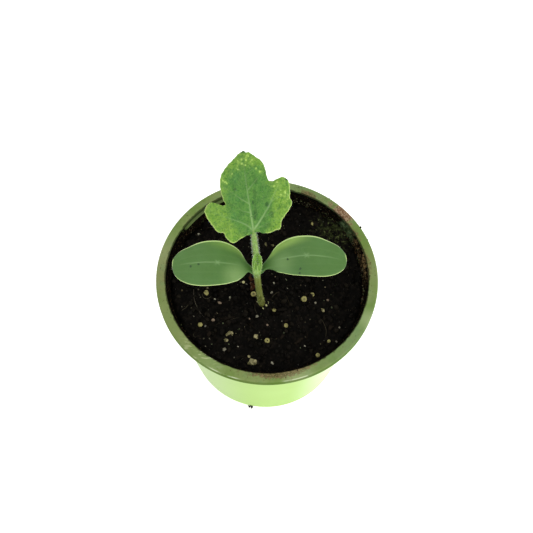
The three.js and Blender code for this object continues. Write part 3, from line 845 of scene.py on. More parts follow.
class SEEDLING_OT_litter(bpy.types.Operator):
    """Lays fibres and bark on the mix, and brushes dried crumbs on the rim and at the foot"""
    bl_idname = "seedling.litter"
    bl_label = "Litter and dirt"

    def execute(self, context):
        draw, heap = np.random.default_rng(29), Heap()
        self.strand(heap, LONG_FIBRE, 0.13, "585145")
        for _ in range(context.scene.seedling_mix.fibres):
            at = scattered(draw, 45)
            heading, bend, step = TURN * draw.random(), draw.normal() * 0.3, draw.uniform(0.6, 2.2)
            places = []
            for _ in range(6):
                places.append(tuple(at))
                at = at + step * around(1, heading)
                heading += bend
            if max(np.hypot(*p) for p in places) < inner_radius(SOIL_LEVEL) - 1.5:
                self.strand(heap, places, draw.uniform(0.05, 0.15),
                            pick(draw, "302a1f 201b13 443e30 251d14 1a1510 504b3b"))
        self.bark(heap, draw)
        heap.piece("litter", litter_finish("litter", 0.7), "potting_mix")
        self.dried(draw)
        return {"FINISHED"}

    def strand(self, heap, places, radius, tint):
        """A fibre that follows the mix."""
        line = spline([(*p, 0) for p in places], 14)
        line[:, 2] = mix_height(line[:, 0], line[:, 1]) + radius * 0.8
        line[1:-1, 2] = (line[:-2, 2] + line[1:-1, 2] + line[2:, 2]) / 3 + radius
        taper = radius * (1 - 0.5 * np.linspace(-1, 1, 14) ** 2)
        heap.add(*loft(tube(np.column_stack([line, taper]), 5)), colour(tint))

    def bark(self, heap, draw):
        """Chips of bark: the ruddy ones beside the stem, and small ones all over."""
        chips = list(CHIPS)
        for _ in range(46):
            x, y = scattered(draw, 44)
            if from_stem(x, y) > 5:
                tint = pick(draw, "120f0b 18130d 100d0a 1e1811")
                chips.append((x, y, *draw.uniform((0.8, 0.4, 0), (2.2, 0.9, 180)), tint))
        points, faces = ball(3)
        for x, y, long, wide, heading, tint in chips:
            ragged = 1 + 0.17 * np.sin(points @ draw.normal(size=(3, 3)) * 5).sum(1)
            shape = np.sign(points) * np.abs(points) ** 0.55 * ragged[:, None] * (long, wide, 0.38)
            shape[:, 2] += 0.25 * np.sin(shape[:, 0] * 1.3) + 0.06 * np.sin(shape[:, 1] * 14)
            turn = turned(math.radians(heading)) @ turned(draw.uniform(-0.2, 0.2), "Y")
            heap.add(shape @ turn.T + rest_on_mix(x, y, 0.45), faces, colour(tint))

    def dried(self, draw):
        """Crumbs that dried on the rim, in drifts, and the dark ones on its edge and at the pot's foot."""
        heap, speck, lump = Heap(), ball(1), ball(2)
        for bearing, spread, count, tint in DRIFTS:
            for _ in range(count):
                turn = math.radians(draw.normal(bearing, spread / 2))
                place = around(draw.uniform(MOUTH_RADIUS + 0.5, RIM_RADIUS - 1.2), turn)
                size = 0.08 + 0.26 * draw.random() ** 3
                half_widths = size * draw.uniform(0.5, 1.2, 3) * (1, 1, 0.6)
                heap.lump(speck, (*place, RIM_TOP + size * 0.1), half_widths, draw, tint,
                          shade=draw.uniform(0.5, 1.5))
        for bearing, size in ((31, 0.75), (23, 0.45), (55, 0.3)):
            edge = (*around(RIM_RADIUS - 0.1, math.radians(bearing)), RIM_TOP - 0.6)
            heap.lump(lump, edge, (size, size * 0.7, size * 0.7), draw, "14100b", 0.3)
        for x, y, size, tint in FOOT_CRUMBS:
            place = (x, y - FOOT_RADIUS, size * 0.6)
            heap.lump(lump, place, size * np.array((1, 0.6, 0.5)), draw, tint, 0.15, flat=True)
        heap.piece("dried_dirt", litter_finish("dried mix", 0.75), "pot_plastic")


# ---------------------------------------------------------------- stem and petiole

# Rows of x, y, z and radius: the root and stem up to the node, and the petiole on to the first leaf's blade.
STEM_COURSE = [
    (*(SOIL_POINT + (0.5, -0.6, -29.5)), 0.5), (*(SOIL_POINT + (0.3, -0.4, -15)), 1.3),
    (*(SOIL_POINT + (0, 0, -1)), 2.1), (*(SOIL_POINT + (-0.2, 0.1, 2)), 1.95),
    (*(SOIL_POINT * 0.64 + NODE * 0.36 + (-0.55, -0.1, 0)), 1.6),
    (*(SOIL_POINT * 0.24 + NODE * 0.76 + (-0.6, 0, 0)), 1.52), (*(NODE + (-0.55, 0.1, -2.4)), 1.75),
    (*(NODE + (-0.5, 0.2, -0.4)), 2.15), (*(NODE + (-0.5, 0.3, 1.0)), 2.1), (*(NODE + (-0.5, 0.8, 2.4)), 1.5),
]
PETIOLE_COURSE = [
    (*(NODE + (-0.4, 0.35, -2.0)), 1.3), (*(NODE + (-0.5, 1.2, 0.6)), 1.5),
    (*(NODE + (-0.9, 5.4, 5.6)), 1.34), (*(JUNCTION + (0.5, -3.4, -4.5)), 1.22),
    (*(JUNCTION + (0.1, -0.6, -1.55)), 1.1), (*(JUNCTION + (-0.3, 2.6, -0.25)), 0.75),
]
STEM_BUMPS = (((0.55, 0.5, 0.8), (-1.6, -13.9, 88.7)), ((0.6, 0.6, 1.0), (-3.9, -13.0, 84.0)))


def stem_finish(look):
    """Olive at the mix, pale green from the node up, with fine lengthwise streaks."""
    f = Finish("stem")
    z = f.part("Z")
    rise, over_node = z - SOIL_LEVEL, z - NODE[2]
    streak, cloud, blotch = f.clouds(0.9, 3.0, (1, 1, 0.12)), f.clouds(2.4), f.clouds(0.8, 3.0, (1, 1, 0.3))
    foot = rise.above(26, 8)
    green = f.coats(
        look.petiole,
        ("a3c67c", streak.above(0.42, 0.7) * 0.55),
        ("5f8f38", f.clouds(1.0).above(0.45, 0.7) * over_node.above(7, 0) * 0.6),
        ("77944a", over_node.above(3, -1) * 0.55))
    base = f.coats(
        look.stem,
        ("86914e", streak.above(0.4, 0.7) * 0.6),
        ("5f582a", (rise + cloud * 5).above(13, 1) * (streak * 0.7 + 0.35)),
        ("3d3719", rise.above(2.5, 0) * cloud),
        ("4d501d", blotch.above(0.5, 0.6) * foot * 0.75),
        ("99a062", blotch.above(0.44, 0.36) * foot * 0.7),
        ("a3aa68", f.near(88.7, (-1.6, -14.2, 1.3, 0.9))),
        (green, (over_node + cloud * 4).above(-6, 3.5)))
    return f.done(base, cloud * 0.2 + 0.38, f.bump(streak, 0.12), flesh=(0.12, (0.3, 0.5, 0.12), 1.2))


class SEEDLING_OT_stem(bpy.types.Operator):
    """Grows the root, stem, node and petiole as one smooth body"""
    bl_idname = "seedling.stem"
    bl_label = "Stem and petiole"

    def execute(self, context):
        limbs = Heap()
        limbs.add(*loft(tube(spline(STEM_COURSE, 110), 30, 0.03)))
        limbs.add(*loft(tube(spline(PETIOLE_COURSE, 60), 26, 0.04)))
        for leaf in SEED_LEAVES:
            stalk = [(*(seed_leaf_top(leaf, along, across * leaf["lift"]) - (0, 0, drop)), radius)
                     for along, across, drop, radius in SEED_STALK]
            limbs.add(*loft(tube(spline(stalk, 22), 18)))
        points, faces = ball(2)
        for size, place in STEM_BUMPS:
            limbs.add(points * size + place, faces)
        finish = stem_finish(context.scene.seedling_plant)
        stem = new_piece("stem_and_petiole", limbs.mesh(), finish, "stem")
        worked(stem, REMESH={"mode": "VOXEL", "voxel_size": 0.24 * MM},
               SMOOTH={"factor": 0.5, "iterations": 5})
        return {"FINISHED"}


# ---------------------------------------------------------------- seed leaves

# Each half of a blade is half an oval: its widest half width, where that lies (1 is the middle, more is
# nearer the tip), how square its ends are (2 is an ellipse), and how much squarer the tip is. The foot gives
# the stalk's half widths to the back and to the front at places along it, and the lift its shift towards the
# back. The rib lies off the middle by one amount near the foot and another at the tip.
SEED_LEAVES = [
    {"name": "seed_leaf_left", "node": "cotyledon_left", "side": -1, "start": 4.2, "tip": 39.0,
     "heading": 3.1, "bend": 1.7, "back": (10.0, 0.8, 1.7, 0.22), "front": (12.9, 1.3, 2.1, 0.0),
     "foot": ((1.2, 2.0, 3.5, 4.5, 5.5, 6.5, 7.7, 9.2, 11.3),
              (1.6, 1.7, 1.94, 2.4, 3.03, 4.3, 5.9, 7.4, 8.2),
              (1.9, 1.75, 1.41, 1.2, 3.1, 4.9, 6.2, 7.9, 9.6)),
     "lift": 0.3, "rib": (0.0, -2.6), "star": 18.5, "seed": 3, "band": 0.65},
    {"name": "seed_leaf_right", "node": "cotyledon_right", "side": 1, "start": 4.5, "tip": 40.7,
     "heading": 9.8, "bend": 2.5, "back": (10.2, 0.8, 1.9, 0.25), "front": (10.9, 1.55, 2.0, 0.0),
     "foot": ((1.2, 2.0, 3.4, 4.7, 6.2, 7.5, 9.2, 11.5), (2.5, 2.55, 3.0, 3.7, 4.86, 6.15, 7.6, 8.7),
              (1.4, 1.0, 0.35, 0.6, 1.65, 2.94, 4.7, 6.6)),
     "lift": 1.2, "rib": (1.3, -2.2), "star": 22.8, "seed": 8, "band": 1.0},
]
# Dark dots on the seed leaves: x, y and z.
SEED_DOTS = ((-34.7, -11.5, 117.7), (-31.3, -10.35, 117.7), (9.2, -6.0, 116.25), (14.9, -11.0, 117.0),
             (14.6, -13.1, 116.8))
SEED_ROWS = 150  # stations along a seed leaf
SEED_ACROSS = 104  # steps across its top, and as many under it
# Rows of a stalk's core: along, across in shares of the lift, drop under the top face, and radius.
SEED_STALK = ((-0.6, 0.6, 1.5, 1.5), (2.4, 1.0, 1.45, 1.3), (5.2, 0.9, 1.05, 0.8), (8.2, 0.6, 0.8, 0.4))
SEED_ARCH = 38.0  # over this length a seed leaf's slope goes from SEED_SLOPES' first to its second
SEED_SLOPES = (0.45, -0.15)
SEED_FOOT = 1.2  # how far from the node a seed leaf begins


def seed_leaf_top(leaf, along, across):
    """Points of a seed leaf's top face, from places along and across it."""
    turn = math.radians(leaf["heading"])
    rise = SEED_SLOPES[0] * along + (SEED_SLOPES[1] - SEED_SLOPES[0]) * along * along / (2 * SEED_ARCH)
    bowed = across + 4 * leaf["bend"] * along * (SEED_ARCH - along) / SEED_ARCH**2
    return np.stack([
        NODE[0] + leaf["side"] * (along * math.cos(turn) - bowed * math.sin(turn)),
        NODE[1] + 0.3 + along * math.sin(turn) + bowed * math.cos(turn),
        NODE[2] - 1.4 + rise + 0.05 * across + 0.004 * across * across,
    ], -1)


def oval_half(share, width, skew, power, blunt):
    reach = np.abs(2 * np.clip(share, 0, 1) ** skew - 1)
    power = power + blunt * soft_step(share, 0.78, 0.96)
    return width * np.maximum(0, 1 - reach**power) ** (1 / power)


def seed_leaf_finish(look):
    """Smooth fleshy green with a pale margin, a painted highlight in lime along the inner edge, painted shade
    towards the stalk, and faint nerves.
    """
    f = Finish("seed leaf")
    cloud, fine = f.clouds(7), f.clouds(0.8)
    dots = 0.0
    for x, y, z in SEED_DOTS:
        dots = f.near(z, (x, y, 1.15, 1)).at_least(dots)
    base = f.coats(
        look.seed_blade,
        ("638d47", cloud.above(0.4, 0.7) * 0.7),
        ("446f30", fine.above(0.5, 0.75) * 0.35),
        # Painted highlight: a lime band where the blade curves up along its inner edge.
        ("9fc25f", (f.stored("band") * 1.2 + cloud * 0.3 - 0.15).above(0.1, 1.0) * 0.8),
        # Painted shade: darker towards the stalk.
        ("3c671c", f.stored("foot") * 0.6),
        ("2f5a20", cloud.above(0.3, 0.8) * 0.3 + 0.12),
        ("93b67a", f.stored("nerve") * 0.55),
        ("9ab872", f.near(116.5, (-13.8, -14.6, 9, 0.45))),
        ("8aaa6a", f.near(116, (7.0, -7.4, 8, 0.35))),
        ("3b6a2a", f.near(117, (14.8, -10.7, 8, 0.3))),
        ("2c4a22", (dots * 0.8 + fine - 0.4).above(0.3, 0.8) * dots.above(0.0, 0.4)),
        ("c3dd8e", f.stored("margin")),
        ("8aa868", f.stored("under") * 0.65))
    return f.done(base, fine * 0.16 + cloud * 0.12 + 0.34, f.bump(fine, 0.05), gloss=0.4,
                  flesh=(0.1, (0.3, 0.6, 0.12), 1.5))


class SEEDLING_OT_seed_leaves(bpy.types.Operator):
    """Spreads the two fleshy seed leaves, with their nerves and pale margins"""
    bl_idname = "seedling.seed_leaves"
    bl_label = "Seed leaves"

    def execute(self, context):
        material = seed_leaf_finish(context.scene.seedling_plant)
        for leaf in SEED_LEAVES:
            self.blade(leaf, material)
        return {"FINISHED"}

    def half_width(self, leaf, along, half, widths):
        """The stalk's half width near the foot, running into the oval's, to one side of the middle."""
        blade = soft_step(along, 8.0, 11.0)
        oval = oval_half((along - leaf["start"]) / (leaf["tip"] - leaf["start"]), *leaf[half])
        stalk = sum(np.interp(along + off, leaf["foot"][0], widths) for off in (-0.45, 0, 0.45)) / 3
        return (oval * blade + 0.02 + stalk * (1 - blade))[:, None]

    def blade(self, leaf, material):
        steps = (1 - np.cos(np.pi * np.linspace(0, 1, SEED_ROWS) ** 1.1)) / 2
        along = SEED_FOOT + (leaf["tip"] - 0.04 - SEED_FOOT) * steps
        back = self.half_width(leaf, along, "back", leaf["foot"][1])
        front = self.half_width(leaf, along, "front", leaf["foot"][2])
        thick = (1.3 + 0.5 * np.exp(-(along - SEED_FOOT) / 4))[:, None]
        loop, upper = folded_loop(SEED_ACROSS)
        v = np.where(loop < 0, loop * front, loop * back)
        u = np.broadcast_to(along[:, None], v.shape)
        nerve = self.nerves(leaf, u, v)
        puff = 0.5 * (waves(u, v, 9, leaf["seed"]) - 0.5) + 0.16 * (waves(u, v, 3.5, 60) - 0.5)
        edge = np.abs(loop)[None] * np.ones_like(u)
        wave = 0.22 * np.sin(u * 0.42 + leaf["seed"]) * edge**4 * np.sign(loop)
        half = thick / 2 * arc(loop**4)
        points = seed_leaf_top(leaf, u, v)
        points[..., 2] += np.where(upper > 0, half - 0.13 * nerve, -half - 0.1 * nerve) - thick / 2
        points[..., 2] += (puff + wave) * soft_step(u, 3, 12)
        made = new_piece(leaf["name"], loft(points), material, leaf["node"])
        start = np.where(loop > 0, 0.915, 0.965)
        rim = soft_step(edge * (0.4 + 0.6 * soft_step(back + front, 2, 12)), start, start + 0.03)
        rim *= np.where(upper + loop > -0.5, 1, 0.3)
        tip = soft_step(u, leaf["tip"] - 0.5, leaf["tip"] - 0.15)
        # The band is a painted highlight along the inner edge.
        band = leaf["band"] * soft_step(v / back, 0.3, 1.0) * soft_step(u, 33, 13) * soft_step(u, 3, 8)
        # foot darkens the blade towards its stalk as painted shade.
        store(made, nerve=nerve * (upper > 0), band=band, margin=np.maximum(rim, tip),
              under=np.broadcast_to(upper < 0, u.shape), foot=soft_step(u, 9, 2.5))

    def nerves(self, leaf, u, v):
        """The midrib with a small star on it, and pairs of nerves that bow out and meet at the tip."""
        tip, star, near_rib, far_rib = leaf["tip"], leaf["star"], *leaf["rib"]
        v = v - near_rib - (far_rib - near_rib) * np.clip((u - 10) / (tip - 10), -0.3, 1)
        lines = 0.85 * bell(v, 0.25) * soft_step(u, tip - 0.5, tip - 13) * soft_step(u, 7, 16)
        for share, strength in ((0.38, 0.07), (-0.38, 0.07), (0.7, 0.05), (-0.7, 0.05)):
            width = leaf["back"][0] if share > 0 else leaf["front"][0]
            bow = share * width * arc(((u - tip * 0.55) / (tip * 0.5)) ** 2)
            lines = np.maximum(lines, strength * bell(v - bow, 0.3) * soft_step(np.abs(v), 0.3, 1.5))
        for slope in (0.8, -0.7, -1.6, 1.5):
            arm = np.abs(v - slope * (u - star)) / math.hypot(1, slope)
            lines = np.maximum(lines, 0.8 * bell(arm, 0.22) * soft_step(np.hypot(u - star, v), 2.3, 0.2))
        return lines


def store(made, **layers):
    """Paints numbers, one for each point of a loft's loops, and none on its two ends."""
    for name, values in layers.items():
        paint(made, name, np.concatenate([values.ravel(), [0, 0]]))


# ---------------------------------------------------------------- first leaf

# The blade's edge: places along and across the midrib, from the junction round the right side and the tip.
LEAF_EDGE = [
    (-0.4, 2.5), (-1, 7), (-0.2, 10.5), (1.1, 12.4), (3.2, 12.9), (5.4, 14.8), (9.3, 18.2), (11.4, 18.8),
    (13.4, 18.1), (16.2, 18.6), (19.8, 18.6), (21.7, 16.4), (21.3, 13.3), (20.2, 10.3), (22, 9.1),
    (26.4, 8.7), (29.8, 7.6), (32.2, 4.9), (34.5, 2.3), (34.6, 0.8), (35.4, -0.3), (33.6, -3.9), (30.2, -7.8),
    (26.2, -11.2), (22.1, -12.4), (18.4, -12.5), (15.3, -11.8), (13, -11), (12.2, -12.8), (13.9, -15.9),
    (14.4, -18.0), (12.8, -20.2), (10.4, -20.6), (6.4, -18.8), (2.4, -16), (1, -13.6), (-1.5, -12.1),
    (-3, -9.8), (-2.4, -7), (-1.2, -3.4),
]
# Bright spots: along, across, half length, half width and strength.
LEAF_GLINTS = [(along, across, reach, reach, 1) for along, across, reach in (
    (27.1, -3.6, 0.6), (24.9, 6.2, 0.95), (26.5, 4.6, 0.75), (22.6, -11.0, 0.5), (21.9, -10.2, 0.55),
    (21.4, -9.4, 0.5), (31.4, -1.6, 0.6), (29.5, -1.6, 0.6), (30.8, 0.5, 0.7), (32.6, 1.4, 0.75),
    (30.6, 3.1, 0.7), (25.4, -6.6, 0.5), (30.9, -3.3, 0.5), (18.0, 11.6, 0.6), (19.6, 13.1, 0.6),
    (28.4, -0.2, 0.5), (16.2, 14.4, 0.5), (15.3, 16.2, 0.95), (14.0, 14.2, 0.7), (12.4, 16.9, 0.5),
)]
# Dark blots, in the same way: those right of the midrib are painted shade, the rest dark marks.
LEAF_BLOTS_AND_SHADE = [
    (9.6, 2.0, 5.6, 0.9, 0.7), (10.4, 7.4, 1.3, 1.1, 1.1), (6.2, 9.0, 1.8, 1.5, 0.9),
    (15.5, 2.4, 2.2, 1.1, 0.6), (18.3, -6.3, 0.8, 0.8, 1.9), (35.0, -0.4, 1.2, 1.2, 1.9),
    (20.9, 17.6, 1.0, 1.0, 2.0), (28.8, -0.6, 1.0, 1.8, 0.5), (6.4, 1.3, 3.2, 0.7, 1.3),
    (11.8, 1.2, 1.8, 0.7, 1.2), (1.6, 6.4, 1.2, 3.4, 0.7), (20.5, 3.6, 2.0, 1.0, 0.7),
    (4.0, 5.6, 1.6, 1.4, 0.5), (23.0, 3.0, 2.6, 1.2, 0.4),
]
# Veins: half width at the near end, how pale they show at both ends, and their course along and across.
LEAF_VEINS = [
    (0.5, 1.0, 0.1, [(0.2, 0), (5, -0.2), (11.6, -0.5), (20.2, -0.8), (29.2, -0.8), (35, 0)]),
    (0.42, 0.95, 0.15, [(0.6, 0.2), (4, 3.4), (7.5, 6.4), (11.1, 9.1), (14.9, 11.4), (19.1, 14.3),
                        (21, 16.6)]),
    (0.4, 0.7, 0.1, [(0.6, -0.2), (3.2, -3.3), (5.5, -7.8), (7.7, -12.6), (9.9, -17), (11, -19.6)]),
    (0.26, 0.4, 0.1, [(0.4, 0.3), (2.6, 6.4), (3.7, 11.3), (4.2, 12.7)]),
    (0.26, 0.4, 0.1, [(0.3, -0.3), (0.4, -4.7), (-0.6, -9.2)]),
    (0.26, 0.6, 0.05, [(7.6, -0.4), (8.6, -3.4), (10.4, -6.4), (12.6, -9.6)]),
    (0.28, 0.7, 0.1, [(11.4, -0.5), (13.6, -3.6), (16.8, -7.4), (20.2, -11.4)]),
    (0.26, 0.6, 0.1, [(17.0, -0.7), (20.0, 2.4), (23.0, 5.4), (25.0, 8.3)]),
    (0.22, 0.2, 0.05, [(19.0, -0.8), (22.6, -4.4), (26.4, -7.8), (28.6, -8.6)]),
    (0.22, 0.2, 0.05, [(23.4, -0.8), (26.2, 2.0), (29.3, 4.7), (30.6, 5.8)]),
    (0.2, 0.25, 0.05, [(7.2, 6.2), (11.5, 6.0), (15.6, 6.6), (19.6, 8.6)]),
    (0.2, 0.3, 0.05, [(5.2, 4.4), (6.4, 8.6), (8.2, 12.4), (10.6, 17.0)]),
    (0.18, 0.25, 0.05, [(11.4, 9.3), (13.2, 13.0), (15.2, 17.4)]),
    (0.18, 0.2, 0.05, [(4.6, -5.6), (7.8, -7.4), (11.8, -9.6)]),
    (0.18, 0.2, 0.05, [(5.9, -8.8), (3.6, -12.0), (3.2, -15.6)]),
    (0.18, 0.2, 0.05, [(7.6, -12.4), (10.4, -14.6), (13.2, -16.4)]),
]
LEAF_HUB = 6.0  # along the midrib, the middle of the blade's rings
LEAF_THICK = 0.7
LEAF_HEADING = math.radians(8.85)
LEAF_RINGS = 62
LEAF_SIDES = 400


def leaf_margin(count):
    """Evenly spaced places round the blade's edge, and which way is out at each."""
    rows = [(*p, 0.0) for p in LEAF_EDGE]
    line = spline(rows[-3:] + rows + rows[:4], 60 * len(rows))
    run, late = run_of(line), len(line) // 2
    from_start = np.linalg.norm(line - rows[0], axis=1)
    at = np.linspace(run[np.argmin(from_start[:late])], run[late + np.argmin(from_start[late:])], count,
                     endpoint=False)
    edge = np.stack([np.interp(at, run, line[:, i]) for i in (0, 1)], 1)
    return edge, unit(edge - (LEAF_HUB, 0))


def from_line(u, v, course):
    """Distance of places from a line, and how far along it they lie, from 0 to 1."""
    line = spline([(*p, 0.0) for p in course], 26)[:, :2]
    best, share = np.full(u.shape, 1e9), np.zeros(u.shape)
    for i, (a, b) in enumerate(zip(line[:-1], line[1:])):
        step = b - a
        t = np.clip(((u - a[0]) * step[0] + (v - a[1]) * step[1]) / (step @ step), 0, 1)
        away = np.hypot(u - a[0] - t * step[0], v - a[1] - t * step[1])
        share = np.where(away < best, (i + t) / (len(line) - 1), share)
        best = np.minimum(best, away)
    return best, share


def leaf_place(u, v, edge):
    """Points of the first leaf's blade, from places along and across its midrib. edge is 1 on its margin."""
    turn = np.arctan2(v, u - LEAF_HUB)
    wave = 0.55 * np.sin(9 * turn + 0.8) * edge**3 + 0.28 * np.sin(23 * turn + 2) * edge**5
    return np.stack([
        JUNCTION[0] - u * math.sin(LEAF_HEADING) + v * math.cos(LEAF_HEADING),
        JUNCTION[1] + u * math.cos(LEAF_HEADING) + v * math.sin(LEAF_HEADING),
        JUNCTION[2] + 0.51 * u - 0.0053 * u * np.abs(u) - 0.005 * v * v + wave,
    ], -1)


def leaf_finish(look):
    """Bluish green round the main veins and yellow-green on the lobes, puffed, with painted shade in the
    hollows and painted highlight on the puffs, pale veins and margin.
    """
    f = Finish("first leaf")
    puff, lobe = f.stored("puff"), f.stored("lobe")
    cloud, patch, fine = f.clouds(6, 4.0), f.clouds(2.2, 4.0), f.clouds(0.6)
    young = (lobe + cloud * 0.9 + patch * 0.5 - 0.72).above(0.0, 1.0)
    base = f.coats(
        look.blade,
        (look.lobe, young),
        ("4a8a46", cloud.above(0.5, 0.3) * (1 - young) * 0.45),
        # Painted shade in the hollows between the puffs, and painted highlight on their tops.
        (f.mix("2f6424", "568a22", young), (1 - puff).above(0.3, 0.95) * 0.75),
        ("a3c852", puff.above(0.5, 1.0) * patch.above(0.4, 0.65) * young * 0.75),
        ("2c661e", f.clouds(1.2, 4.0).above(0.5, 0.64) * 0.5),
        ("a2ca52", f.clouds(0.9, 4.0).above(0.52, 0.64) * lobe * 0.6),
        ("33651a", young * 0.2 + 0.1),
        # Dark blots, partly painted shade beside the midrib.
        ("234c17", f.stored("dark") * (patch * 0.6 + 0.3)),
        ("33701f", fine.above(0.46, 0.72) * 0.5),
        ("7fae4e", f.stored("net") * 0.3),
        ("a5cb80", f.stored("vein") * 0.85),
        ("bfe070", f.stored("glint") * fine.above(0.3, 0.6) * 0.85),
        ("24481f", f.spots(3.4).above(0.07, 0.03) * cloud.above(0.5, 0.6) * 0.8),
        (f.mix("4f7d2c", "b7d36c", young.above(0.1, 0.5)), f.stored("margin") * 0.85),
        ("8fb066", f.stored("under") * 0.6))
    return f.done(base, fine * 0.2 + 0.36, f.bump(f.clouds(1.3) + fine * 0.3, 0.3), gloss=0.32,
                  flesh=(0.1, (0.3, 0.6, 0.1), 1.2))


class SEEDLING_OT_first_leaf(bpy.types.Operator):
    """Spreads the lobed first leaf, puffed between its veins"""
    bl_idname = "seedling.first_leaf"
    bl_label = "First leaf"

    def execute(self, context):
        look = context.scene.seedling_plant
        edge, out = leaf_margin(LEAF_SIDES)
        nick = TURN * np.linspace(0, 1, LEAF_SIDES, endpoint=False)
        teeth = 0.2 * np.maximum(0, np.sin(nick * 46)) ** 2 + 0.1 * np.sin(nick * 17)
        edge = edge + out * teeth[:, None]
        shares = (1 - (1 - np.linspace(0.02, 1, LEAF_RINGS)) ** 1.15)[:, None]
        u, v = LEAF_HUB + (edge[:, 0] - LEAF_HUB) * shares, edge[:, 1] * shares
        share = np.broadcast_to(shares, u.shape)
        ridge, vein, net, puff, draw = self.relief(u, v)
        fade = soft_step(share, 1.0, 0.9)
        height = look.blister / MM * (puff - 0.35) * (0.35 + 0.65 * fade) - 0.2 * ridge
        round_off = 0.5 * LEAF_THICK * (1 - arc(np.clip((share - 0.975) / 0.025, 0, 1) ** 2))
        top, bottom = leaf_place(u, v, share), leaf_place(u, v, share)
        top[..., 2] += height - round_off
        bottom[..., 2] += height * 0.7 - LEAF_THICK + round_off - 0.3 * ridge
        skin = loft(np.concatenate([bottom, top[::-1]]))
        made = new_piece("first_leaf", skin, leaf_finish(look), "true_leaf")
        lobe = soft_step(((u - 13) / 21) ** 2 + (v / 12.5) ** 2, 0.25, 1.15)
        lobe = lobe * (0.6 + 0.4 * soft_step(u, 26, 6))
        wobble = 0.5 * (waves(u, v, 0.9, 141) - 0.5)
        glint = self.spots(u, v, wobble, LEAF_GLINTS, (1.0, 0.45), self.sheen(u, v, fade, draw))
        dark = self.spots(u, v, wobble, LEAF_BLOTS_AND_SHADE, (1.1, 0.4), np.zeros_like(u))
        margin = soft_step(share, 0.972, 0.99) * (1 - 0.8 * soft_step(u, 21, 27))
        margin = margin * (1 - soft_step(dark, 1.0, 1.5))
        layers = {"vein": vein, "net": net, "puff": puff, "dark": dark, "margin": margin,
                  "lobe": np.maximum(lobe, 0.75 * soft_step(u, 24, 31))}
        store(made, **{name: np.concatenate([value, value[::-1]]) for name, value in layers.items()})
        store(made, glint=np.concatenate([0 * u, glint[::-1]]), under=np.concatenate([0 * u + 1, 0 * u]))
        return {"FINISHED"}

    def spots(self, u, v, wobble, rows, fade, most):
        for along, across, long, wide, strength in rows:
            away = np.hypot((u - along) / long, (v - across) / wide) + wobble
            most = np.maximum(most, strength * soft_step(away, *fade))
        return most

    def sheen(self, u, v, fade, draw):
        """Small glints on the tip and on both lobes."""
        shiny = np.maximum(soft_step(u, 23, 29), 0.8 * soft_step(v, 9, 13) * soft_step(u, 4, 10))
        shiny = np.maximum(shiny, 0.8 * soft_step(v, -8, -11) * soft_step(u, 14, 17))
        small, _, lot = cells(u * 0.8 + v * 0.35, v, 0.8, 131)
        return 0.5 * shiny * fade * soft_step(lot + 0.3 * draw, 0.93, 1.1) * soft_step(small, 0.5, 0.3)

    def relief(self, u, v):
        """The main veins, the net of small veins, and how far the blade puffs up between them."""
        ridge, vein = np.zeros(u.shape), np.zeros(u.shape)
        for width, near_end, far_end, course in LEAF_VEINS:
            away, share = from_line(u, v, course)
            line = bell(away, width * (1 - 0.72 * share))
            ridge = np.maximum(ridge, line * (0.45 + width) * (1 - 0.35 * share))
            vein = np.maximum(vein, line * (near_end + (far_end - near_end) * share**0.7))
        near, second, draw = cells(u + 0.4 * waves(u, v, 3, 71), v + 0.4 * waves(u, v, 3, 72), 2.1, 81)
        small, other, _ = cells(u, v, 1.0, 91)
        puff = np.clip(1 - near * 1.1, 0, 1) ** 0.7 * (0.6 + 0.4 * draw)
        puff = puff + 0.18 * (1 - small) * soft_step(other - small, 0, 0.3)
        puff = np.clip(puff * (1 - 0.8 * ridge), 0, 1)
        return ridge, vein, soft_step(second - near, 0.16, 0.02), puff, draw


# ---------------------------------------------------------------- growing tip

# Folded young leaves: length, half width, lean from level, bearing of the open side, foot from the node, how
# far the halves fold up, how blunt the tip is and how far it droops.
YOUNG_LEAVES = [
    (8.2, 2.2, 53, -92, (-0.35, -0.35, 1.65), 0.42, 6.0, 1.1),
    (5.2, 0.9, 55, -104, (-1.0, -0.9, 1.8), 0.6, 2.0, 0.0),
    (4.2, 0.8, 55, -80, (0.4, -0.9, 1.9), 0.6, 2.0, 0.0),
]


def tip_finish():
    """Downy young green, with painted shade in the folds, and pale on the edges."""
    f = Finish("growing tip")
    edge, fine = f.stored("edge"), f.clouds(0.7)
    base = f.coats(
        "6c9a34",
        ("86b04a", fine.above(0.35, 0.7)),
        # Painted shade in the folds.
        ("46691d", edge.above(0.55, 0.0) * 0.55),
        ("b4d288", edge.above(0.8, 1.0) * 0.85))
    return f.done(base, fine * 0.2 + 0.45, f.bump(fine, 0.12), flesh=(0.1, (0.3, 0.6, 0.1), 1))


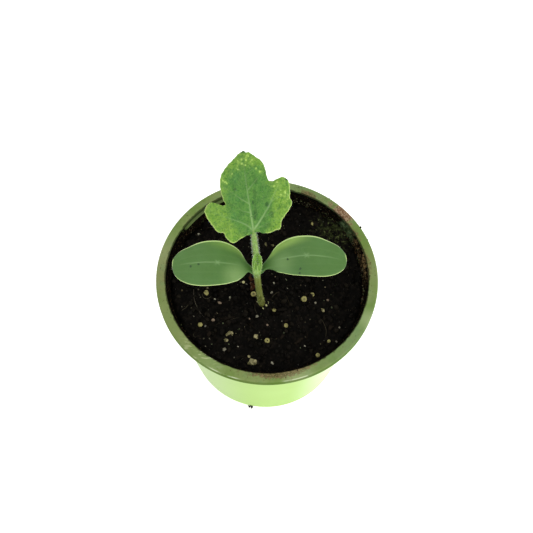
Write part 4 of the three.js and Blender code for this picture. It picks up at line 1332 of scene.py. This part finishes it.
class SEEDLING_OT_growing_tip(bpy.types.Operator):
    """Folds the young leaves of the growing tip against the petiole"""
    bl_idname = "seedling.growing_tip"
    bl_label = "Growing tip"

    def execute(self, context):
        heap, edges = Heap(), []
        for index, leaf in enumerate(YOUNG_LEAVES):
            points, edge = self.young_leaf(*leaf, index)
            heap.add(*loft(points))
            edges += [edge.ravel(), [1, 1]]
        made = new_piece("growing_tip_leaves", heap.mesh(), tip_finish(), "growing_tip")
        paint(made, "edge", np.concatenate(edges))
        return {"FINISHED"}

    def young_leaf(self, long, half_width, lean, bearing, foot, fold, blunt, droop, index):
        lean, bearing = math.radians(lean), math.radians(bearing)
        along = np.array([0, math.cos(lean), math.sin(lean)])
        across = unit(np.cross(along, (math.cos(bearing), math.sin(bearing), 0)))
        t = np.linspace(0, 1, 56)[:, None]
        loop, upper = folded_loop(24)
        half = 0.15 + (half_width - 0.15) * arc(t**blunt) * soft_step(t, -0.35, 0.3)
        teeth = 1 + 0.12 * np.maximum(0, np.sin(t * 38 + index)) * np.abs(loop) ** 6
        thick = 0.34 * arc(loop**6) * (1 - 0.4 * t)
        pleat = 0.05 * np.cos(loop * 12 + 6 * t) * (1 - np.abs(loop))
        lift = fold * half * loop**2 + upper * thick / 2 + pleat - 0.16 * half_width * np.sin(np.pi * t)
        points = (NODE + foot + along * (long * t)[..., None] + across * (loop * half * teeth)[..., None]
                  + np.cross(across, along) * (lift - droop * t * t)[..., None])
        return points, np.broadcast_to(np.abs(loop), points.shape[:2])


# ---------------------------------------------------------------- down


def roots(name, count, draw, where):
    """Random places on a piece, where a test of places allows, and their normals."""
    mesh = bpy.data.objects[name].data
    rows = {}
    for key, width in (("center", 3), ("normal", 3), ("area", 1)):
        rows[key] = np.empty(len(mesh.polygons) * width)
        mesh.polygons.foreach_get(key, rows[key])
    centres, normals = rows["center"].reshape(-1, 3) / MM, rows["normal"].reshape(-1, 3)
    areas = rows["area"] * where(*centres.T)
    chosen = draw.choice(len(areas), count, p=areas / areas.sum())
    return centres[chosen] + draw.normal(size=(count, 3)) * 0.05, normals[chosen]


def hairs(places, headings, lengths, radius, draw):
    """Points and faces of tapered three-sided hairs that droop a little."""
    count, lengths = len(places), lengths[:, None]
    headings = unit(headings)
    side = unit(np.cross(headings, draw.normal(size=(count, 3))))
    other = np.cross(headings, side)
    bend = side * draw.normal(0, 0.12, (count, 1)) + (0, 0, -0.06)
    levels = []
    for t, width in ((-0.08, 1.0), (0.5, 0.62)):
        centre = places + (headings * t + bend * t * t) * lengths
        for turn in (0, TURN / 3, 2 * TURN / 3):
            levels.append(centre + (side * math.cos(turn) + other * math.sin(turn)) * radius * width)
    levels.append(places + (headings + bend) * lengths)
    sides = [(0, 1, 4, 3), (1, 2, 5, 4), (2, 0, 3, 5), (3, 4, 6), (4, 5, 6), (5, 3, 6), (2, 1, 0)]
    faces = [tuple(7 * i + k for k in side) for i in range(count) for side in sides]
    return np.stack(levels, 1).reshape(-1, 3), faces


class SEEDLING_OT_down(bpy.types.Operator):
    """Sets hairs on the petiole, the node, the stem, the young leaves, and the first leaf and its margin"""
    bl_idname = "seedling.down"
    bl_label = "Down"

    def execute(self, context):
        look = context.scene.seedling_plant
        draw, heap = np.random.default_rng(41), Heap()
        longest, top = look.hair_length / MM, NODE[2]
        # Piece, count, where, shortest, longest, radius, spread of the headings, and how far they point up.
        for name, count, where, low, high, radius, spread, up in (
            ("stem_and_petiole", look.hairs, lambda x, y, z: (z > top + 1.5) & (y > NODE[1] + 1.0),
             0.55, longest, 0.045, 0.22, 0.1),
            ("stem_and_petiole", 300,
             lambda x, y, z: (z > top - 4) & (np.hypot(x - NODE[0], y - NODE[1]) < 4),
             0.3, longest * 0.6, 0.034, 0.35, 0.1),
            ("stem_and_petiole", 500, lambda x, y, z: (z > SOIL_LEVEL + 3) & (z < top - 3),
             0.12, 0.4, 0.02, 0.3, -0.1),
            ("growing_tip_leaves", 500, lambda x, y, z: z > top - 1, 0.25, longest * 0.6, 0.022, 0.4, 0.3),
            ("first_leaf", 900, lambda x, y, z: z > 0, 0.2, 0.5, 0.018, 0.2, 0),
        ):
            places, normals = roots(name, count, draw, where)
            headings = normals + draw.normal(0, spread, normals.shape) + (0, 0, up)
            lengths = low + (high - low) * draw.random(count) ** 1.4
            heap.add(*hairs(places, headings, lengths, radius, draw))
        self.fringe(heap, draw, 1100)
        f = Finish("down")
        base = f.mix("d3dcc0", "a9b995", f.clouds(2.0, 1.0).above(0.4, 0.7))
        material = f.done(base, 0.4, Subsurface_Weight=0.2, Subsurface_Scale=0.5 * MM)
        new_piece("down", heap.mesh(), material)
        return {"FINISHED"}

    def fringe(self, heap, draw, count):
        """Hairs along the edge of the first leaf."""
        edge, out = leaf_margin(count)
        rim, beyond = (leaf_place(*(edge + out * away).T, np.ones(count)) for away in (0, 0.5))
        headings = beyond - rim + draw.normal(0, 0.25, (count, 3))
        lengths = 0.15 + 0.45 * draw.random(count) ** 2
        heap.add(*hairs(rim - (0, 0, LEAF_THICK / 2), headings, lengths, 0.02, draw))


# ---------------------------------------------------------------- stage

# Soft lights: name, place and width in metres, and power as a share of the key light's.
LIGHTS = (
    ("key", (-0.55, -0.35, 1.5), 1.1, 1.0),
    ("fill", (0.95, -0.45, 0.5), 0.6, 0.8),
    ("back", (-0.25, 0.75, 0.8), 0.25, 0.08),
)
FLOOR_HALF = 4000
CAMERA_PLACE = (-0.42, -167.79, 449.12)
CAMERA_DOWN = math.radians(64.63)  # how far it looks down from level
CAMERA_TURN = math.radians(-1.32)  # and turns about its own line of sight


class SEEDLING_OT_stage(bpy.types.Operator):
    """Lays the pale floor, hangs the soft lights and sets the camera above the front of the pot"""
    bl_idname = "seedling.stage"
    bl_label = "Stage"

    def execute(self, context):
        look, scene = context.scene.seedling_stage, context.scene
        self.floor(look)
        scene.world = bpy.data.worlds.new("studio")
        scene.world.use_nodes = True
        glow = scene.world.node_tree.nodes["Background"]
        glow.inputs["Color"].default_value = (1.0, 1.0, 1.0, 1)
        glow.inputs["Strength"].default_value = look.sky
        for name, place, size, share in LIGHTS:
            self.light(name, place, size, look.key * share)
        self.camera(scene, look)
        scene.view_settings.view_transform = "Standard"
        scene.view_settings.look = "None"
        return {"FINISHED"}

    def floor(self, look):
        f = Finish("pale floor")
        shade = f.mix(look.floor, "f4f4f2", f.clouds(40, 2.0) * 0.3)
        material = f.done(shade, 0.9, gloss=0.1, Emission_Color=(1.0, 1.0, 0.99), Emission_Strength=0.5)
        corners = [(x * FLOOR_HALF, y * FLOOR_HALF, 0) for x, y in ((-1, -1), (1, -1), (1, 1), (-1, 1))]
        new_object("floor", (corners, [(0, 1, 2, 3)]), material)

    def light(self, name, place, size, power):
        """A square soft light that faces the pot."""
        lamp = bpy.data.lights.new(name, "AREA")
        lamp.size, lamp.energy = size, power
        made = bpy.data.objects.new(name, lamp)
        made.location = place
        made.rotation_euler = (Vector((0, 0, 0.08)) - Vector(place)).to_track_quat("-Z", "Y").to_euler()
        bpy.context.scene.collection.objects.link(made)

    def camera(self, scene, look):
        """Looks down at the pot from in front."""
        ahead = Vector((0, math.cos(CAMERA_DOWN), -math.sin(CAMERA_DOWN)))
        right, up = Vector((1, 0, 0)), Vector((0, math.sin(CAMERA_DOWN), math.cos(CAMERA_DOWN)))
        side = math.cos(CAMERA_TURN) * right - math.sin(CAMERA_TURN) * up
        top = math.sin(CAMERA_TURN) * right + math.cos(CAMERA_TURN) * up
        lens = bpy.data.cameras.new("camera")
        lens.sensor_width, lens.lens, lens.clip_start = 36.0, look.lens, 0.01
        camera = bpy.data.objects.new("camera", lens)
        axes = Matrix((side, top, -ahead)).transposed()
        camera.matrix_world = Matrix.Translation(Vector(CAMERA_PLACE) * MM) @ axes.to_4x4()
        scene.collection.objects.link(camera)
        scene.camera = camera


# ---------------------------------------------------------------- panel and main


class SEEDLING_PT_panel(bpy.types.Panel):
    """Lists the pieces of the seedling and what can be changed on them"""
    bl_idname = "SEEDLING_PT_panel"
    bl_label = "Seedling"
    bl_space_type = "VIEW_3D"
    bl_region_type = "UI"
    bl_category = "Seedling"

    def draw(self, context):
        for name, group in SETTINGS.items():
            box = self.layout.box()
            for key in group.__annotations__:
                box.prop(getattr(context.scene, name), key)
        for piece in PIECES:
            self.layout.operator(piece.bl_idname)


SETTINGS = {
    "seedling_pot": PotSettings,
    "seedling_mix": MixSettings,
    "seedling_plant": PlantSettings,
    "seedling_stage": StageSettings,
}
PIECES = (
    SEEDLING_OT_stage, SEEDLING_OT_pot, SEEDLING_OT_mix, SEEDLING_OT_grains, SEEDLING_OT_litter,
    SEEDLING_OT_stem, SEEDLING_OT_seed_leaves, SEEDLING_OT_first_leaf, SEEDLING_OT_growing_tip,
    SEEDLING_OT_down,
)


def register():
    for cls in (*SETTINGS.values(), *PIECES, SEEDLING_PT_panel):
        bpy.utils.register_class(cls)
    for name, group in SETTINGS.items():
        setattr(bpy.types.Scene, name, PointerProperty(type=group))


def unregister():
    for name in SETTINGS:
        delattr(bpy.types.Scene, name)
    for cls in reversed((*SETTINGS.values(), *PIECES, SEEDLING_PT_panel)):
        bpy.utils.unregister_class(cls)


def run(piece):
    """Calls a piece's operator by its name."""
    group, name = piece.bl_idname.split(".")
    getattr(getattr(bpy.ops, group), name)()


def main():
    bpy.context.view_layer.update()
    register()
    for piece in PIECES:
        run(piece)


if __name__ == "__main__":
    main()
